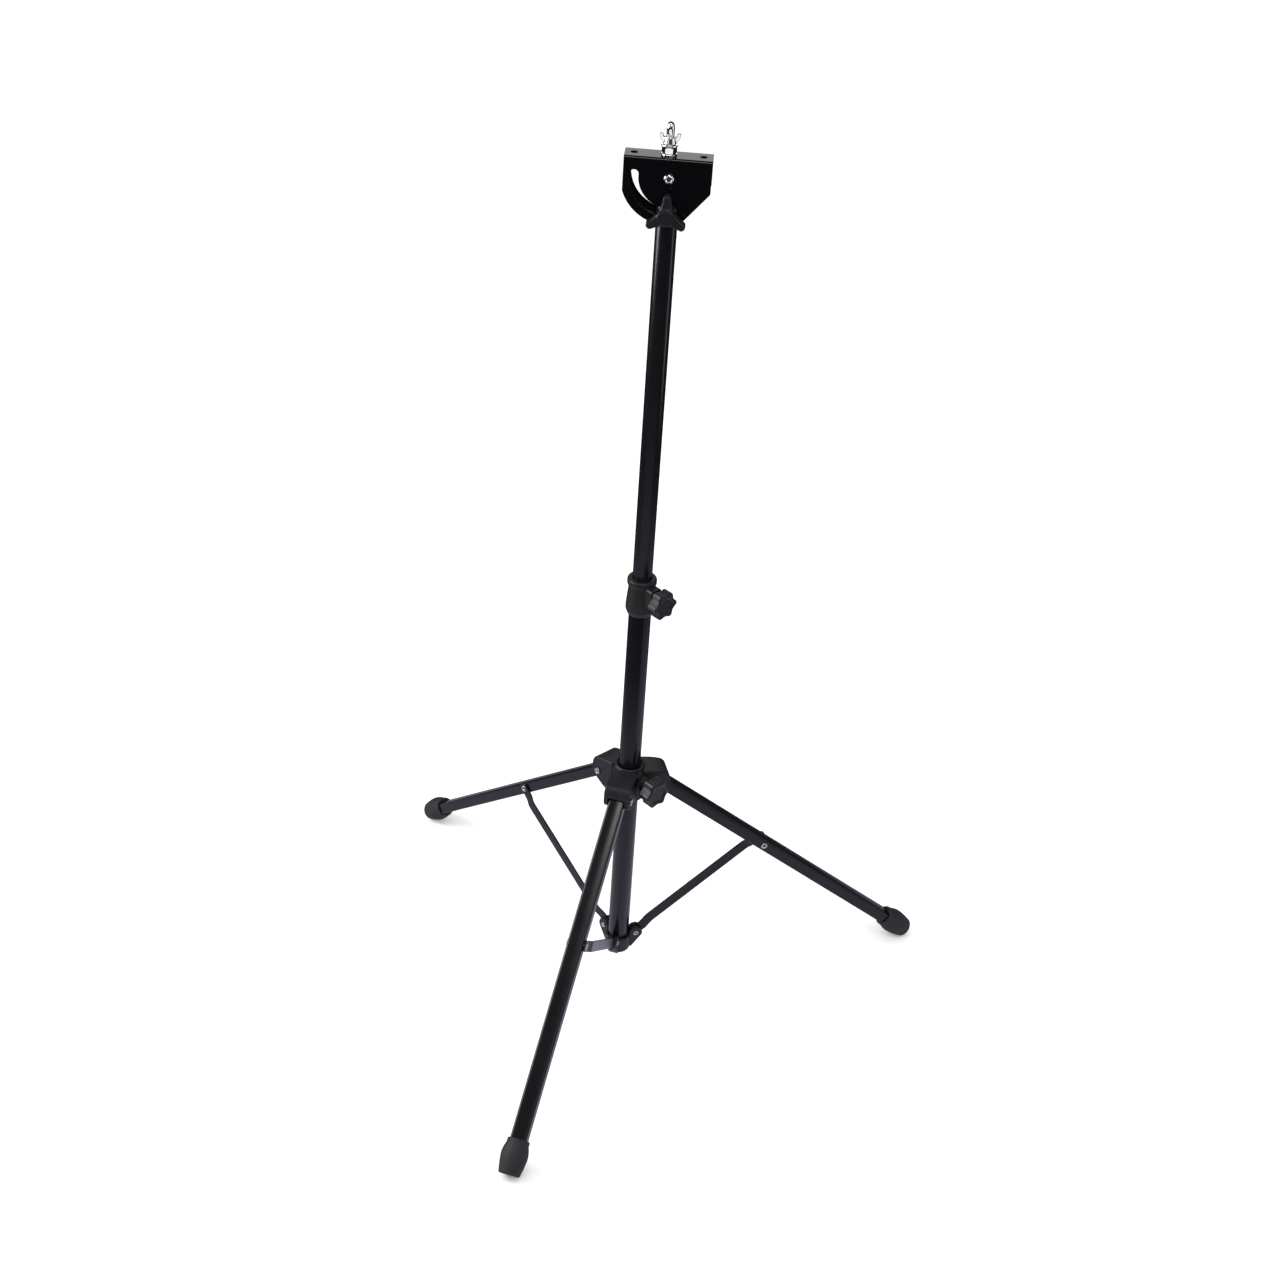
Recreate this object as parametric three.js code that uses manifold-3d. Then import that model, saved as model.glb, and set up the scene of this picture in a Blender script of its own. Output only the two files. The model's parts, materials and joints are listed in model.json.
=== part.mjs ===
// Folding tripod stand with a telescoping mast and a tilting head.
// Millimetres, +Z up. X runs along the head bracket's width and Y along its tilt axis, with
// the front plate on the -Y side. Every piece is placed from the mast's axis and the floor;
// the last lines move the origin to the middle of the footprint.
import * as THREE from "three";
import { mergeVertices } from "three/addons/utils/BufferGeometryUtils.js";
import Module from "manifold-3d";

const wasm = await Module();
wasm.setup();

// ---------- driving dimensions ----------
const GAP = 0.3; // clearance between separate pieces

const LOWER_TUBE_R = 12.7;
const UPPER_TUBE_R = 11;
const TUBE_WALL = 1.2;
const LOWER_TUBE_Z = [31.3, 560];
const UPPER_TUBE_Z = [430, 1035.5];
const CAP_ROUND_R = 12.4; // top of the tube's plug, rounded about the tilt axis
const TUBE_SIDES = 24;
const PIN_SIDES = 12;
const DISC_SIDES = 18;

const FRONT_LEG_AZIMUTH = -13.5; // degrees from -Y towards +X
const LEG_SPACING = 120;
const LEG_LETTERS = ["a", "b", "c"];

const HUB_PIVOT_R = 38; // leg pivot, from the mast's axis
const HUB_PIVOT_Z = 285.5;
const LEG_LENGTH = 441; // pivot to the foot's end face
const FOOT_END_Z = 8.2; // centre of the foot's end face above the floor
const LEG_WIDTH = 19.3;
const LEG_HEIGHT = 14.7;
const LEG_WALL = 1.2;
const LEG_CORNER_R = 2;
const LEG_LIP = 4.2; // turned-in lower edge of the channel
const LEG_END_R = 9.5; // rounded inner end
const BRACE_RIVET_AT = 175.7; // along the leg from its pivot

const FOOT_LENGTH = 40;
const FOOT_RIM_R = 12.6;
const FOOT_BULGE_R = 15.5;
const FOOT_END_R = 12;
const FOOT_FLOOR = 12.5; // rubber between the channel's end and the foot's end face

const BASE_PIVOT_R = 21;
const BASE_PIVOT_Z = 51;
const BASE_CUP_Z = [29, 50];
const BASE_CUP_R = 15.4;
const FORK_HALF = 6; // half width over both plates of a fork
const FORK_SLOT_HALF = 1.4;
const FORK_EAR_R = 8.5;

const BRACE_WIDTH = 13;
const BRACE_THICK = 2;
const BRACE_SIDE = 11; // offset of the brace's outer end beside the leg

const HUB_BORE_R = 13.3;
const HUB_SLEEVE_R = 17.6;
const HUB_Z = [268, 313];
const HOOD_HALF = 15.5;
const HOOD_SLOT_HALF = 10.2;
const HOOD_TIP_R = 9.8; // round end of a hood's cheeks about the leg pivot
const HUB_SCREW_Z = 296;
const KNOB_AZIMUTH = FRONT_LEG_AZIMUTH + LEG_SPACING / 2;

const COLLAR_Z = [522, 568];
const COLLAR_SCREW_Z = 549;

const PIVOT_Z = 1030; // tilt axis
const BRACKET_LEFT = -45.5;
const BRACKET_RIGHT = 41.5;
const BRACKET_HALF_DEPTH = 13;
const BRACKET_SHEET = 1.8;
const BRACKET_TOP = 20; // top face above the tilt axis
const BRACKET_ARC_R = 48;
const BRACKET_BEND_R = 2.6;
const SLOT_R = 34.5; // clamp bolt from the tilt axis
const SLOT_HALF = 4.4;
const SLOT_ENDS = [-10, 94]; // degrees from straight down, towards -X
const STUD_X = -2;
const TOP_HOLE_PITCH = 68;
const TOP_HOLE_R = 3.5;

const M6_R = 3;
const M6_FLATS = 10; // across the flats of an M6 nut
const M6_NUT_THICK = 5;
const M8_R = 4;
const M8_FLATS = 13;
const NUT_HOLE_GAP = 0.25; // radial gap that stands for the thread engagement
const HEX_CHAMFER = 0.9;

const PAD_R = 4; // plastic pad at the tip of each lobed knob's screw
const PAD_THICK = 2;
const SCREW_HOLE_R = 3.5;
const BASE_RIVET = { pinR: 2, holeR: 2.3, headR: 3.4, headThick: 0.8 };
const BRACE_RIVET = { pinR: 2.5, holeR: 2.8, headR: 4.2, headThick: 1 };
const HUB_RIVET = { pinR: 3, holeR: 3.3, headR: 4.4, headThick: 1.1 };
const BRACE_LOW_HOLE_R = 2.45;
const BRACE_HIGH_HOLE_R = 3.2;
const LEG_PIVOT_HOLE_R = 3.6;

const KNOB_LOBES = 6;
const KNOB_FLUTE = 3.4; // depth of the flutes between the lobes
const HEIGHT_KNOB = { lobeR: 16.8, stemX: 24.6, gripX: 27, endX: 41 };
const HUB_KNOB = { lobeR: 18, stemX: 29.5, gripX: 36, endX: 52 };
const HEIGHT_NUT_X = 19.3; // captive nuts, from the mast's axis
const HUB_NUT_X = 23.3;

const CLAMP_WASHER = { outerR: 8.5, thick: 1.6 };
const PIVOT_WASHER = { outerR: 6, thick: 1.2 };
const INSERT_R = 6;
const TILT_KNOB = { tipR: 22, tipRound: 4.2, waist: 5.5, hubR: 9, depth: 15 };

const STUD_TOP = 53; // above the tilt axis
const BOLT_HEAD = 4.4;
const STUD_WASHER = { outerR: 8, thick: 1.4 };
const STUD_NUT_THICK = 6.4;
const WING_WASHER = { outerR: 8.4, thick: 1.3, lift: 0.9 };
const FAR = 30; // half length of a cutter that runs right through a piece

// ---------- materials ----------
const finish = (color, roughness, metalness) =>
  new THREE.MeshStandardMaterial({ color, roughness, metalness });
const BLACK_PAINT = finish(0x17171a, 0.38, 0.25);
const GLOSS_PAINT = finish(0x0c0c0e, 0.22, 0.25);
const BLACK_PLASTIC = finish(0x242426, 0.55, 0);
const RUBBER = finish(0x1e1e1f, 0.85, 0);
const ZINC = finish(0xb9b6ae, 0.32, 1);
const CHROME = finish(0xdcdcde, 0.12, 1);
const BRASS = finish(0xb08d4a, 0.35, 1);

// ---------- solid helpers ----------
const degrees = THREE.MathUtils.degToRad;

function solid(geometry) {
  const bare = geometry.index ? geometry.toNonIndexed() : geometry.clone();
  bare.deleteAttribute("normal");
  bare.deleteAttribute("uv");
  const merged = mergeVertices(bare, 1e-4);
  return new wasm.Manifold(
    new wasm.Mesh({
      numProp: 3,
      vertProperties: merged.attributes.position.array,
      triVerts: new Uint32Array(merged.index.array),
    }),
  );
}

function geometryOf(body) {
  const { vertProperties, triVerts } = body.getMesh();
  const geometry = new THREE.BufferGeometry();
  geometry.setAttribute("position", new THREE.BufferAttribute(vertProperties, 3));
  geometry.setIndex(new THREE.BufferAttribute(triVerts, 1));
  return geometry;
}

const joined = (first, ...others) =>
  others.reduce((body, other) => body.add(solid(other)), solid(first));
const cut = (body, ...tools) => tools.reduce((left, tool) => left.subtract(solid(tool)), body);

function piece(parent, name, body, material) {
  const geometry = body.isBufferGeometry ? body : geometryOf(body);
  geometry.computeVertexNormals();
  const mesh = new THREE.Mesh(geometry, material);
  mesh.name = name;
  parent.add(mesh);
  return mesh;
}

// Cylinders along each axis, between two stations on it.
function rodZ(radius, z0, z1, sides = PIN_SIDES, x = 0, y = 0) {
  const rod = new THREE.CylinderGeometry(radius, radius, z1 - z0, sides);
  return rod.rotateX(Math.PI / 2).translate(x, y, (z0 + z1) / 2);
}
function rodY(radius, y0, y1, sides = PIN_SIDES, x = 0, z = 0) {
  const rod = new THREE.CylinderGeometry(radius, radius, y1 - y0, sides);
  return rod.translate(x, (y0 + y1) / 2, z);
}
function rodX(radius, x0, x1, sides = PIN_SIDES, y = 0, z = 0) {
  const rod = new THREE.CylinderGeometry(radius, radius, x1 - x0, sides);
  return rod.rotateZ(Math.PI / 2).translate((x0 + x1) / 2, y, z);
}
function block(x0, x1, y0, y1, z0, z1) {
  const box = new THREE.BoxGeometry(x1 - x0, y1 - y0, z1 - z0);
  return box.translate((x0 + x1) / 2, (y0 + y1) / 2, (z0 + z1) / 2);
}

// A solid of revolution about Z from [radius, height] points, listed anticlockwise.
function turned(points, sides = TUBE_SIDES) {
  const profile = points.map(([r, z]) => new THREE.Vector2(r, z));
  return new THREE.LatheGeometry(profile, sides).rotateX(Math.PI / 2);
}
function ring(inner, outer, z0, z1, sides = TUBE_SIDES) {
  return turned([[inner, z0], [outer, z0], [outer, z1], [inner, z1], [inner, z0]], sides);
}

// An outline drawn in X and Z, given thickness along Y with rounded edges.
function sidePlate(shape, y0, y1, edge = 0, curveSegments = 10) {
  const geometry = new THREE.ExtrudeGeometry(shape, {
    depth: y1 - y0 - 2 * edge,
    curveSegments,
    bevelEnabled: edge > 0,
    bevelSize: edge,
    bevelThickness: edge,
    bevelOffset: -edge,
    bevelSegments: 1,
  });
  return geometry.rotateX(Math.PI / 2).translate(0, y1 - edge, 0);
}

// An outline drawn in Y and Z, swept along X.
const SWEEP_X = new THREE.Matrix4().makeBasis(
  new THREE.Vector3(0, 1, 0),
  new THREE.Vector3(0, 0, 1),
  new THREE.Vector3(1, 0, 0),
);
function sweptX(shape, x0, x1, edge = 0, curveSegments = 4) {
  const geometry = new THREE.ExtrudeGeometry(shape, {
    depth: x1 - x0 - 2 * edge,
    curveSegments,
    bevelEnabled: edge > 0,
    bevelSize: edge,
    bevelThickness: edge,
    bevelOffset: -edge,
    bevelSegments: 1,
  });
  return geometry.applyMatrix4(SWEEP_X).translate(x0 + edge, 0, 0);
}

function roundedRectangle(halfWidth, halfHeight, radius) {
  const shape = new THREE.Shape();
  shape.absarc(halfWidth - radius, halfHeight - radius, radius, 0, Math.PI / 2);
  shape.absarc(-halfWidth + radius, halfHeight - radius, radius, Math.PI / 2, Math.PI);
  shape.absarc(-halfWidth + radius, -halfHeight + radius, radius, Math.PI, 1.5 * Math.PI);
  shape.absarc(halfWidth - radius, -halfHeight + radius, radius, 1.5 * Math.PI, 2 * Math.PI);
  return shape;
}

function hexagon(acrossFlats) {
  const corner = acrossFlats / Math.sqrt(3);
  const points = [];
  for (let side = 0; side < 6; side++) {
    const angle = (side * Math.PI) / 3;
    points.push(new THREE.Vector2(corner * Math.cos(angle), corner * Math.sin(angle)));
  }
  return new THREE.Shape(points);
}

// A hexagonal nut or bolt head along Z with both ends chamfered.
function hexBody(acrossFlats, z0, z1) {
  const corner = acrossFlats / Math.sqrt(3);
  const hex = new THREE.ExtrudeGeometry(hexagon(acrossFlats), {
    depth: z1 - z0,
    bevelEnabled: false,
  }).translate(0, 0, z0);
  const rounding = turned(
    [
      [0, z0],
      [acrossFlats / 2, z0],
      [corner + 0.1, z0 + HEX_CHAMFER],
      [corner + 0.1, z1 - HEX_CHAMFER],
      [acrossFlats / 2, z1],
      [0, z1],
    ],
    18,
  );
  return solid(hex).intersect(solid(rounding));
}

// A radial frame: X points away from the mast at the azimuth, Y runs anticlockwise round it.
function radialFrame(azimuth) {
  const frame = new THREE.Group();
  frame.rotation.z = degrees(azimuth - 90);
  return frame;
}
const toAzimuth = (geometry, azimuth) => geometry.rotateZ(degrees(azimuth - 90));

// ---------- linkage angles ----------
const LEG_SLOPE = Math.asin((HUB_PIVOT_Z - FOOT_END_Z) / LEG_LENGTH);
const BRACE_TOP_R = HUB_PIVOT_R + BRACE_RIVET_AT * Math.cos(LEG_SLOPE);
const BRACE_TOP_Z = HUB_PIVOT_Z - BRACE_RIVET_AT * Math.sin(LEG_SLOPE);
const BRACE_SLOPE = Math.atan2(BRACE_TOP_Z - BASE_PIVOT_Z, BRACE_TOP_R - BASE_PIVOT_R);
const BRACE_LENGTH = Math.hypot(BRACE_TOP_Z - BASE_PIVOT_Z, BRACE_TOP_R - BASE_PIVOT_R);

const stand = new THREE.Group();

// ---------- mast: lower tube, base collar, height collar ----------
const legAzimuths = LEG_LETTERS.map((_, index) => FRONT_LEG_AZIMUTH + index * LEG_SPACING);

function lowerTube() {
  const tube = solid(
    ring(LOWER_TUBE_R - TUBE_WALL, LOWER_TUBE_R, LOWER_TUBE_Z[0], LOWER_TUBE_Z[1]),
  );
  const padHole = rodX(PAD_R + 0.5, 8, 20, PIN_SIDES, 0, COLLAR_SCREW_Z);
  return cut(tube, toAzimuth(padHole, KNOB_AZIMUTH));
}

// One plate of a fork: from the cup's wall out to a round ear about the brace's lower rivet.
function forkOutline() {
  const shape = new THREE.Shape();
  const leaves = degrees(-42);
  shape.moveTo(13.4, BASE_CUP_Z[0] + 1);
  shape.lineTo(16.5, BASE_CUP_Z[0] + 1);
  shape.absarc(BASE_PIVOT_R, BASE_PIVOT_Z, FORK_EAR_R, leaves, Math.PI / 2);
  shape.lineTo(16, BASE_PIVOT_Z + FORK_EAR_R - 1.5);
  shape.lineTo(13.4, BASE_PIVOT_Z + 3);
  return shape;
}

function baseCollar() {
  const [bottom, top] = BASE_CUP_Z;
  const bore = LOWER_TUBE_R + GAP;
  let cup = solid(
    turned([
      [0, bottom],
      [BASE_CUP_R - 2, bottom],
      [BASE_CUP_R, bottom + 2],
      [BASE_CUP_R, top - 1],
      [BASE_CUP_R - 1, top],
      [bore, top],
      [bore, bottom + 2],
      [0, bottom + 2],
    ]),
  );
  for (const azimuth of legAzimuths) {
    const fork = sidePlate(forkOutline(), -FORK_HALF, FORK_HALF, 0.8, 5);
    const slot = block(13.2, 40, -FORK_SLOT_HALF, FORK_SLOT_HALF, 41, 70);
    const pinHole = rodY(BASE_RIVET.holeR, -FAR, FAR, PIN_SIDES, BASE_PIVOT_R, BASE_PIVOT_Z);
    cup = cup.add(solid(toAzimuth(fork, azimuth)));
    cup = cut(cup, toAzimuth(slot, azimuth), toAzimuth(pinHole, azimuth));
  }
  return cut(cup, rodZ(bore, bottom + 2, 70, TUBE_SIDES));
}

// Pin along Y with a plain head at each end and one drilled end; y0 and y1 are under the heads.
function rivet({ pinR, headR, headThick }, y0, y1) {
  const pin = joined(
    rodY(pinR, y0 - headThick / 2, y1 + headThick / 2),
    rodY(headR, y0 - headThick, y0),
    rodY(headR, y1, y1 + headThick),
  );
  return cut(pin, rodY(pinR * 0.6, y0 - headThick - 1, y0 + 3, 10));
}

piece(stand, "lower_tube", lowerTube(), BLACK_PAINT);
piece(stand, "base_collar", baseCollar(), BLACK_PLASTIC);

// The sleeve is narrow under its lip, widens downwards and is chamfered onto the tube.
function heightCollar() {
  const [bottom, top] = COLLAR_Z;
  const lowBore = LOWER_TUBE_R + GAP;
  const highBore = UPPER_TUBE_R + GAP;
  const shoulder = LOWER_TUBE_Z[1] + GAP;
  const sleeve = solid(
    turned([
      [lowBore, bottom],
      [14, bottom],
      [16.8, bottom + 6.5],
      [16.8, bottom + 13],
      [14.6, top - 9.5],
      [15.8, top - 8.2],
      [16.6, top - 6.6],
      [16.6, top - 2.4],
      [15, top],
      [highBore, top],
      [highBore, shoulder],
      [lowBore, shoulder],
      [lowBore, bottom],
    ]),
  );
  const bossShape = roundedRectangle(7.6, 13, 3);
  const boss = sweptX(bossShape, 13.5, 24, 0.8).translate(0, 0, COLLAR_SCREW_Z);
  const body = sleeve.add(solid(toAzimuth(boss, KNOB_AZIMUTH)));
  return cut(
    body,
    rodZ(lowBore, bottom - 1, shoulder, TUBE_SIDES),
    rodZ(highBore, shoulder - 1, top + 1, TUBE_SIDES),
    toAzimuth(rodX(SCREW_HOLE_R, 10, 30, PIN_SIDES, 0, COLLAR_SCREW_Z), KNOB_AZIMUTH),
    toAzimuth(rodX(PAD_R + 0.5, 10, 16, PIN_SIDES, 0, COLLAR_SCREW_Z), KNOB_AZIMUTH),
    toAzimuth(nutPocket(HEIGHT_NUT_X - GAP, 26).translate(0, 0, COLLAR_SCREW_Z), KNOB_AZIMUTH),
  );
}

const nutPocket = (x0, x1) => sweptX(hexagon(M6_FLATS + 2 * GAP), x0, x1);
function captiveNut(x0) {
  const x1 = x0 + M6_NUT_THICK;
  const nut = hexBody(M6_FLATS, x0, x1);
  const drilled = cut(nut, rodZ(M6_R + NUT_HOLE_GAP, x0 - 1, x1 + 1));
  return geometryOf(drilled).applyMatrix4(SWEEP_X);
}

piece(stand, "height_collar", heightCollar(), BLACK_PLASTIC);

// ---------- screw knobs ----------
// A round outline with flutes cut between its lobes.
function lobedOutline(lobeR, samples = 6) {
  const points = [];
  const count = KNOB_LOBES * samples;
  for (let index = 0; index < count; index++) {
    const angle = (2 * Math.PI * index) / count;
    const lobe = ((1 + Math.cos(KNOB_LOBES * angle)) / 2) ** 1.4;
    const radius = lobeR - KNOB_FLUTE * (1 - lobe);
    points.push(new THREE.Vector2(radius * Math.cos(angle), radius * Math.sin(angle)));
  }
  return new THREE.Shape(points);
}

// Knob on a threaded shank along X: a stem, then the lobed grip with a dished outer face.
function screwKnob({ lobeR, stemX, gripX, endX }, shankEnd) {
  const grip = sweptX(lobedOutline(lobeR), gripX, endX, 1.6);
  const stem = rodX(lobeR * 0.55, stemX, gripX + 2, DISC_SIDES);
  const dish = rodX(lobeR * 0.52, endX - 1.2, endX + 2, DISC_SIDES);
  return cut(joined(grip, stem), dish, rodX(M6_R + GAP, stemX - 1, shankEnd + GAP));
}

const knobFrame = radialFrame(KNOB_AZIMUTH);
stand.add(knobFrame);

function clampScrewSet(prefix, z, padX, nutX, knob) {
  const level = new THREE.Group();
  level.position.z = z;
  knobFrame.add(level);
  const shankEnd = knob.gripX + 7;
  const shankStart = padX + PAD_THICK + GAP;
  piece(level, prefix + "_pad", rodX(PAD_R, padX, padX + PAD_THICK), BLACK_PLASTIC);
  piece(level, prefix + "_nut", captiveNut(nutX), ZINC);
  piece(level, prefix + "_screw", rodX(M6_R, shankStart, shankEnd), ZINC);
  piece(level, prefix + "_knob", screwKnob(knob, shankEnd), BLACK_PLASTIC);
}

clampScrewSet("height", COLLAR_SCREW_Z, UPPER_TUBE_R + GAP, HEIGHT_NUT_X, HEIGHT_KNOB);

// ---------- hub ----------
// Side view of one hood: domed over the leg's end, with cheeks round its pivot.
function hoodOutline() {
  const shape = new THREE.Shape();
  const cheekLeaves = degrees(-58);
  shape.moveTo(HUB_BORE_R + 0.5, HUB_Z[0]);
  shape.lineTo(25, HUB_Z[0]);
  shape.absarc(HUB_PIVOT_R, HUB_PIVOT_Z, HOOD_TIP_R, cheekLeaves, 0);
  shape.lineTo(HUB_PIVOT_R + HOOD_TIP_R, HUB_PIVOT_Z + 7);
  shape.quadraticCurveTo(HUB_PIVOT_R + HOOD_TIP_R - 0.6, HUB_Z[1] - 10.5, 40, HUB_Z[1] - 8);
  shape.quadraticCurveTo(30, HUB_Z[1] - 4.2, HUB_BORE_R + 0.5, HUB_Z[1] - 3.6);
  return shape;
}

// Room for the leg inside a hood: a round pocket about the pivot, open below and in front.
function hoodPocket() {
  const shape = new THREE.Shape();
  const room = LEG_END_R + 1.6;
  const mouth = HUB_PIVOT_Z + 4.8;
  shape.moveTo(HUB_PIVOT_R - room, HUB_Z[0] - 10);
  shape.lineTo(80, HUB_Z[0] - 10);
  shape.lineTo(80, mouth);
  shape.lineTo(HUB_PIVOT_R + Math.sqrt(room * room - 4.8 * 4.8), mouth);
  shape.absarc(HUB_PIVOT_R, HUB_PIVOT_Z, room, Math.asin(4.8 / room), Math.PI);
  return shape;
}

function hubBody() {
  const [bottom, top] = HUB_Z;
  const sleeve = turned([
    [HUB_BORE_R, bottom],
    [HUB_SLEEVE_R + 1.4, bottom],
    [HUB_SLEEVE_R + 1.4, top - 7],
    [HUB_SLEEVE_R, top - 5],
    [HUB_SLEEVE_R, top - 1.2],
    [HUB_SLEEVE_R - 1.2, top],
    [HUB_BORE_R, top],
    [HUB_BORE_R, bottom],
  ]);
  let body = solid(sleeve);
  for (const azimuth of legAzimuths) {
    const hood = sidePlate(hoodOutline(), -HOOD_HALF, HOOD_HALF, 1.3, 5);
    body = body.add(solid(toAzimuth(hood, azimuth)));
  }
  const boss = rodX(9.4, 15, 28.5, DISC_SIDES, 0, HUB_SCREW_Z);
  body = body.add(solid(toAzimuth(boss, KNOB_AZIMUTH)));
  for (const azimuth of legAzimuths) {
    const pocket = sidePlate(hoodPocket(), -HOOD_SLOT_HALF, HOOD_SLOT_HALF, 0, 8);
    const pinHole = rodY(HUB_RIVET.holeR, -FAR, FAR, PIN_SIDES, HUB_PIVOT_R, HUB_PIVOT_Z);
    body = cut(body, toAzimuth(pocket, azimuth), toAzimuth(pinHole, azimuth));
  }
  return cut(
    body,
    rodZ(HUB_BORE_R, bottom - 1, top + 1, TUBE_SIDES),
    toAzimuth(rodX(SCREW_HOLE_R, 10, 30, PIN_SIDES, 0, HUB_SCREW_Z), KNOB_AZIMUTH),
    toAzimuth(rodX(PAD_R + 0.5, 10, 17.5, PIN_SIDES, 0, HUB_SCREW_Z), KNOB_AZIMUTH),
    toAzimuth(nutPocket(HUB_NUT_X - GAP, 32).translate(0, 0, HUB_SCREW_Z), KNOB_AZIMUTH),
  );
}

piece(stand, "hub", hubBody(), BLACK_PLASTIC);
clampScrewSet("hub", HUB_SCREW_Z, LOWER_TUBE_R + GAP, HUB_NUT_X, HUB_KNOB);

// ---------- legs, feet and braces ----------
// Channel open below, with its lower edges turned in.
function legSection() {
  const halfW = LEG_WIDTH / 2;
  const halfH = LEG_HEIGHT / 2;
  const section = roundedRectangle(halfW, halfH, LEG_CORNER_R);
  const inner = roundedRectangle(halfW - LEG_WALL, halfH - LEG_WALL, LEG_CORNER_R - LEG_WALL);
  const mouth = halfW - LEG_LIP;
  return { section, inner, mouth };
}

function legChannel() {
  const { section, inner, mouth } = legSection();
  const outEnd = LEG_LENGTH - FOOT_FLOOR - GAP;
  const channel = cut(
    solid(sweptX(section, -LEG_END_R - 2, outEnd, 0, 3)),
    sweptX(inner, -LEG_END_R - 5, outEnd + 5, 0, 2),
    block(-LEG_END_R - 5, outEnd + 5, -mouth, mouth, -LEG_HEIGHT, -2),
  );
  const sideView = new THREE.Shape();
  sideView.absarc(0, 0, LEG_END_R, Math.PI / 2, 1.5 * Math.PI);
  sideView.lineTo(outEnd, -LEG_END_R);
  sideView.lineTo(outEnd, LEG_END_R);
  const shaped = channel.intersect(solid(sidePlate(sideView, -LEG_WIDTH, LEG_WIDTH)));
  return cut(
    shaped,
    rodY(LEG_PIVOT_HOLE_R, -FAR, FAR),
    rodY(BRACE_RIVET.holeR, -FAR, FAR, PIN_SIDES, BRACE_RIVET_AT),
  );
}

// Barrel-shaped rubber boot with a pocket for the channel, cut flat where it meets the floor.
function footBoot() {
  const start = LEG_LENGTH - FOOT_LENGTH;
  const side = new THREE.SplineCurve([
    new THREE.Vector2(FOOT_RIM_R, start + 1.2),
    new THREE.Vector2(FOOT_RIM_R + 1.1, start + 6),
    new THREE.Vector2(FOOT_BULGE_R, start + FOOT_LENGTH * 0.42),
    new THREE.Vector2(FOOT_BULGE_R - 1.2, start + FOOT_LENGTH * 0.7),
    new THREE.Vector2(FOOT_END_R, LEG_LENGTH - 1),
  ]);
  const sidePoints = side.getPoints(7).map((point) => [point.x, point.y]);
  const profile = [
    [0, start],
    [FOOT_RIM_R - 1, start],
    ...sidePoints,
    [FOOT_END_R - 1, LEG_LENGTH],
    [0, LEG_LENGTH],
  ];
  const barrel = turned(profile).rotateY(Math.PI / 2);
  const pocketShape = roundedRectangle(LEG_WIDTH / 2 + GAP, LEG_HEIGHT / 2 + GAP, LEG_CORNER_R);
  const pocket = sweptX(pocketShape, start - 2, LEG_LENGTH - FOOT_FLOOR, 0, 3);
  const floor = block(200, 600, -60, 60, -60, 0);
  floor.translate(-HUB_PIVOT_R, 0, -HUB_PIVOT_Z).rotateY(-LEG_SLOPE);
  return cut(solid(barrel), pocket, floor);
}

// Flat bar with two joggles, seen from above: x runs along the brace, y is its sideways offset.
function braceBar() {
  const end = BRACE_WIDTH / 2;
  const line = [
    [-end - 1, 0],
    [12, 0],
    [23, 4],
    [BRACE_LENGTH - 22, 13.5],
    [BRACE_LENGTH - 13, BRACE_SIDE],
    [BRACE_LENGTH + end + 1, BRACE_SIDE],
  ];
  const half = BRACE_THICK / 2;
  const upper = line.map(([x, y]) => new THREE.Vector2(x, y + half));
  const lower = line.map(([x, y]) => new THREE.Vector2(x, y - half)).reverse();
  const bar = new THREE.ExtrudeGeometry(new THREE.Shape([...lower, ...upper]), {
    depth: BRACE_WIDTH + 2,
    bevelEnabled: false,
  }).translate(0, 0, -end - 1);
  const plan = new THREE.Shape();
  plan.absarc(0, 0, end, Math.PI / 2, 1.5 * Math.PI);
  plan.absarc(BRACE_LENGTH, 0, end, -Math.PI / 2, Math.PI / 2);
  const shaped = solid(bar).intersect(solid(sidePlate(plan, -FAR, FAR)));
  return cut(
    shaped,
    rodY(BRACE_LOW_HOLE_R, -FAR, FAR),
    rodY(BRACE_HIGH_HOLE_R, -FAR, FAR, PIN_SIDES, BRACE_LENGTH),
  );
}

LEG_LETTERS.forEach((letter, index) => {
  const side = radialFrame(legAzimuths[index]);
  stand.add(side);

  const fork = FORK_HALF + GAP;
  const baseRivet = rivet(BASE_RIVET, -fork, fork).translate(BASE_PIVOT_R, 0, BASE_PIVOT_Z);
  piece(side, `base_rivet_${letter}`, baseRivet, ZINC);

  const cheek = HOOD_HALF + GAP;
  const hubRivet = rivet(HUB_RIVET, -cheek, cheek).translate(HUB_PIVOT_R, 0, HUB_PIVOT_Z);
  piece(side, `hub_rivet_${letter}`, hubRivet, ZINC);

  const leg = new THREE.Group();
  leg.position.set(HUB_PIVOT_R, 0, HUB_PIVOT_Z);
  leg.rotation.y = LEG_SLOPE;
  side.add(leg);
  piece(leg, `leg_${letter}`, legChannel(), BLACK_PAINT);
  piece(leg, `foot_${letter}`, footBoot(), RUBBER);
  const nearSide = -LEG_WIDTH / 2 - GAP;
  const farSide = BRACE_SIDE + BRACE_THICK / 2 + GAP;
  const braceRivet = rivet(BRACE_RIVET, nearSide, farSide).translate(BRACE_RIVET_AT, 0, 0);
  piece(leg, `brace_rivet_${letter}`, braceRivet, ZINC);

  const brace = new THREE.Group();
  brace.position.set(BASE_PIVOT_R, 0, BASE_PIVOT_Z);
  brace.rotation.y = -BRACE_SLOPE;
  side.add(brace);
  piece(brace, `brace_${letter}`, braceBar(), BLACK_PAINT);
});

// ---------- upper mast ----------
const boltZ = PIVOT_Z - SLOT_R;

function upperTube() {
  const tube = ring(UPPER_TUBE_R - TUBE_WALL, UPPER_TUBE_R, UPPER_TUBE_Z[0], UPPER_TUBE_Z[1]);
  return cut(
    solid(tube),
    rodY(M8_R + GAP, -FAR, FAR, PIN_SIDES, 0, boltZ),
    rodY(M6_R + GAP, -FAR, FAR, PIN_SIDES, 0, PIVOT_Z),
  );
}

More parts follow.
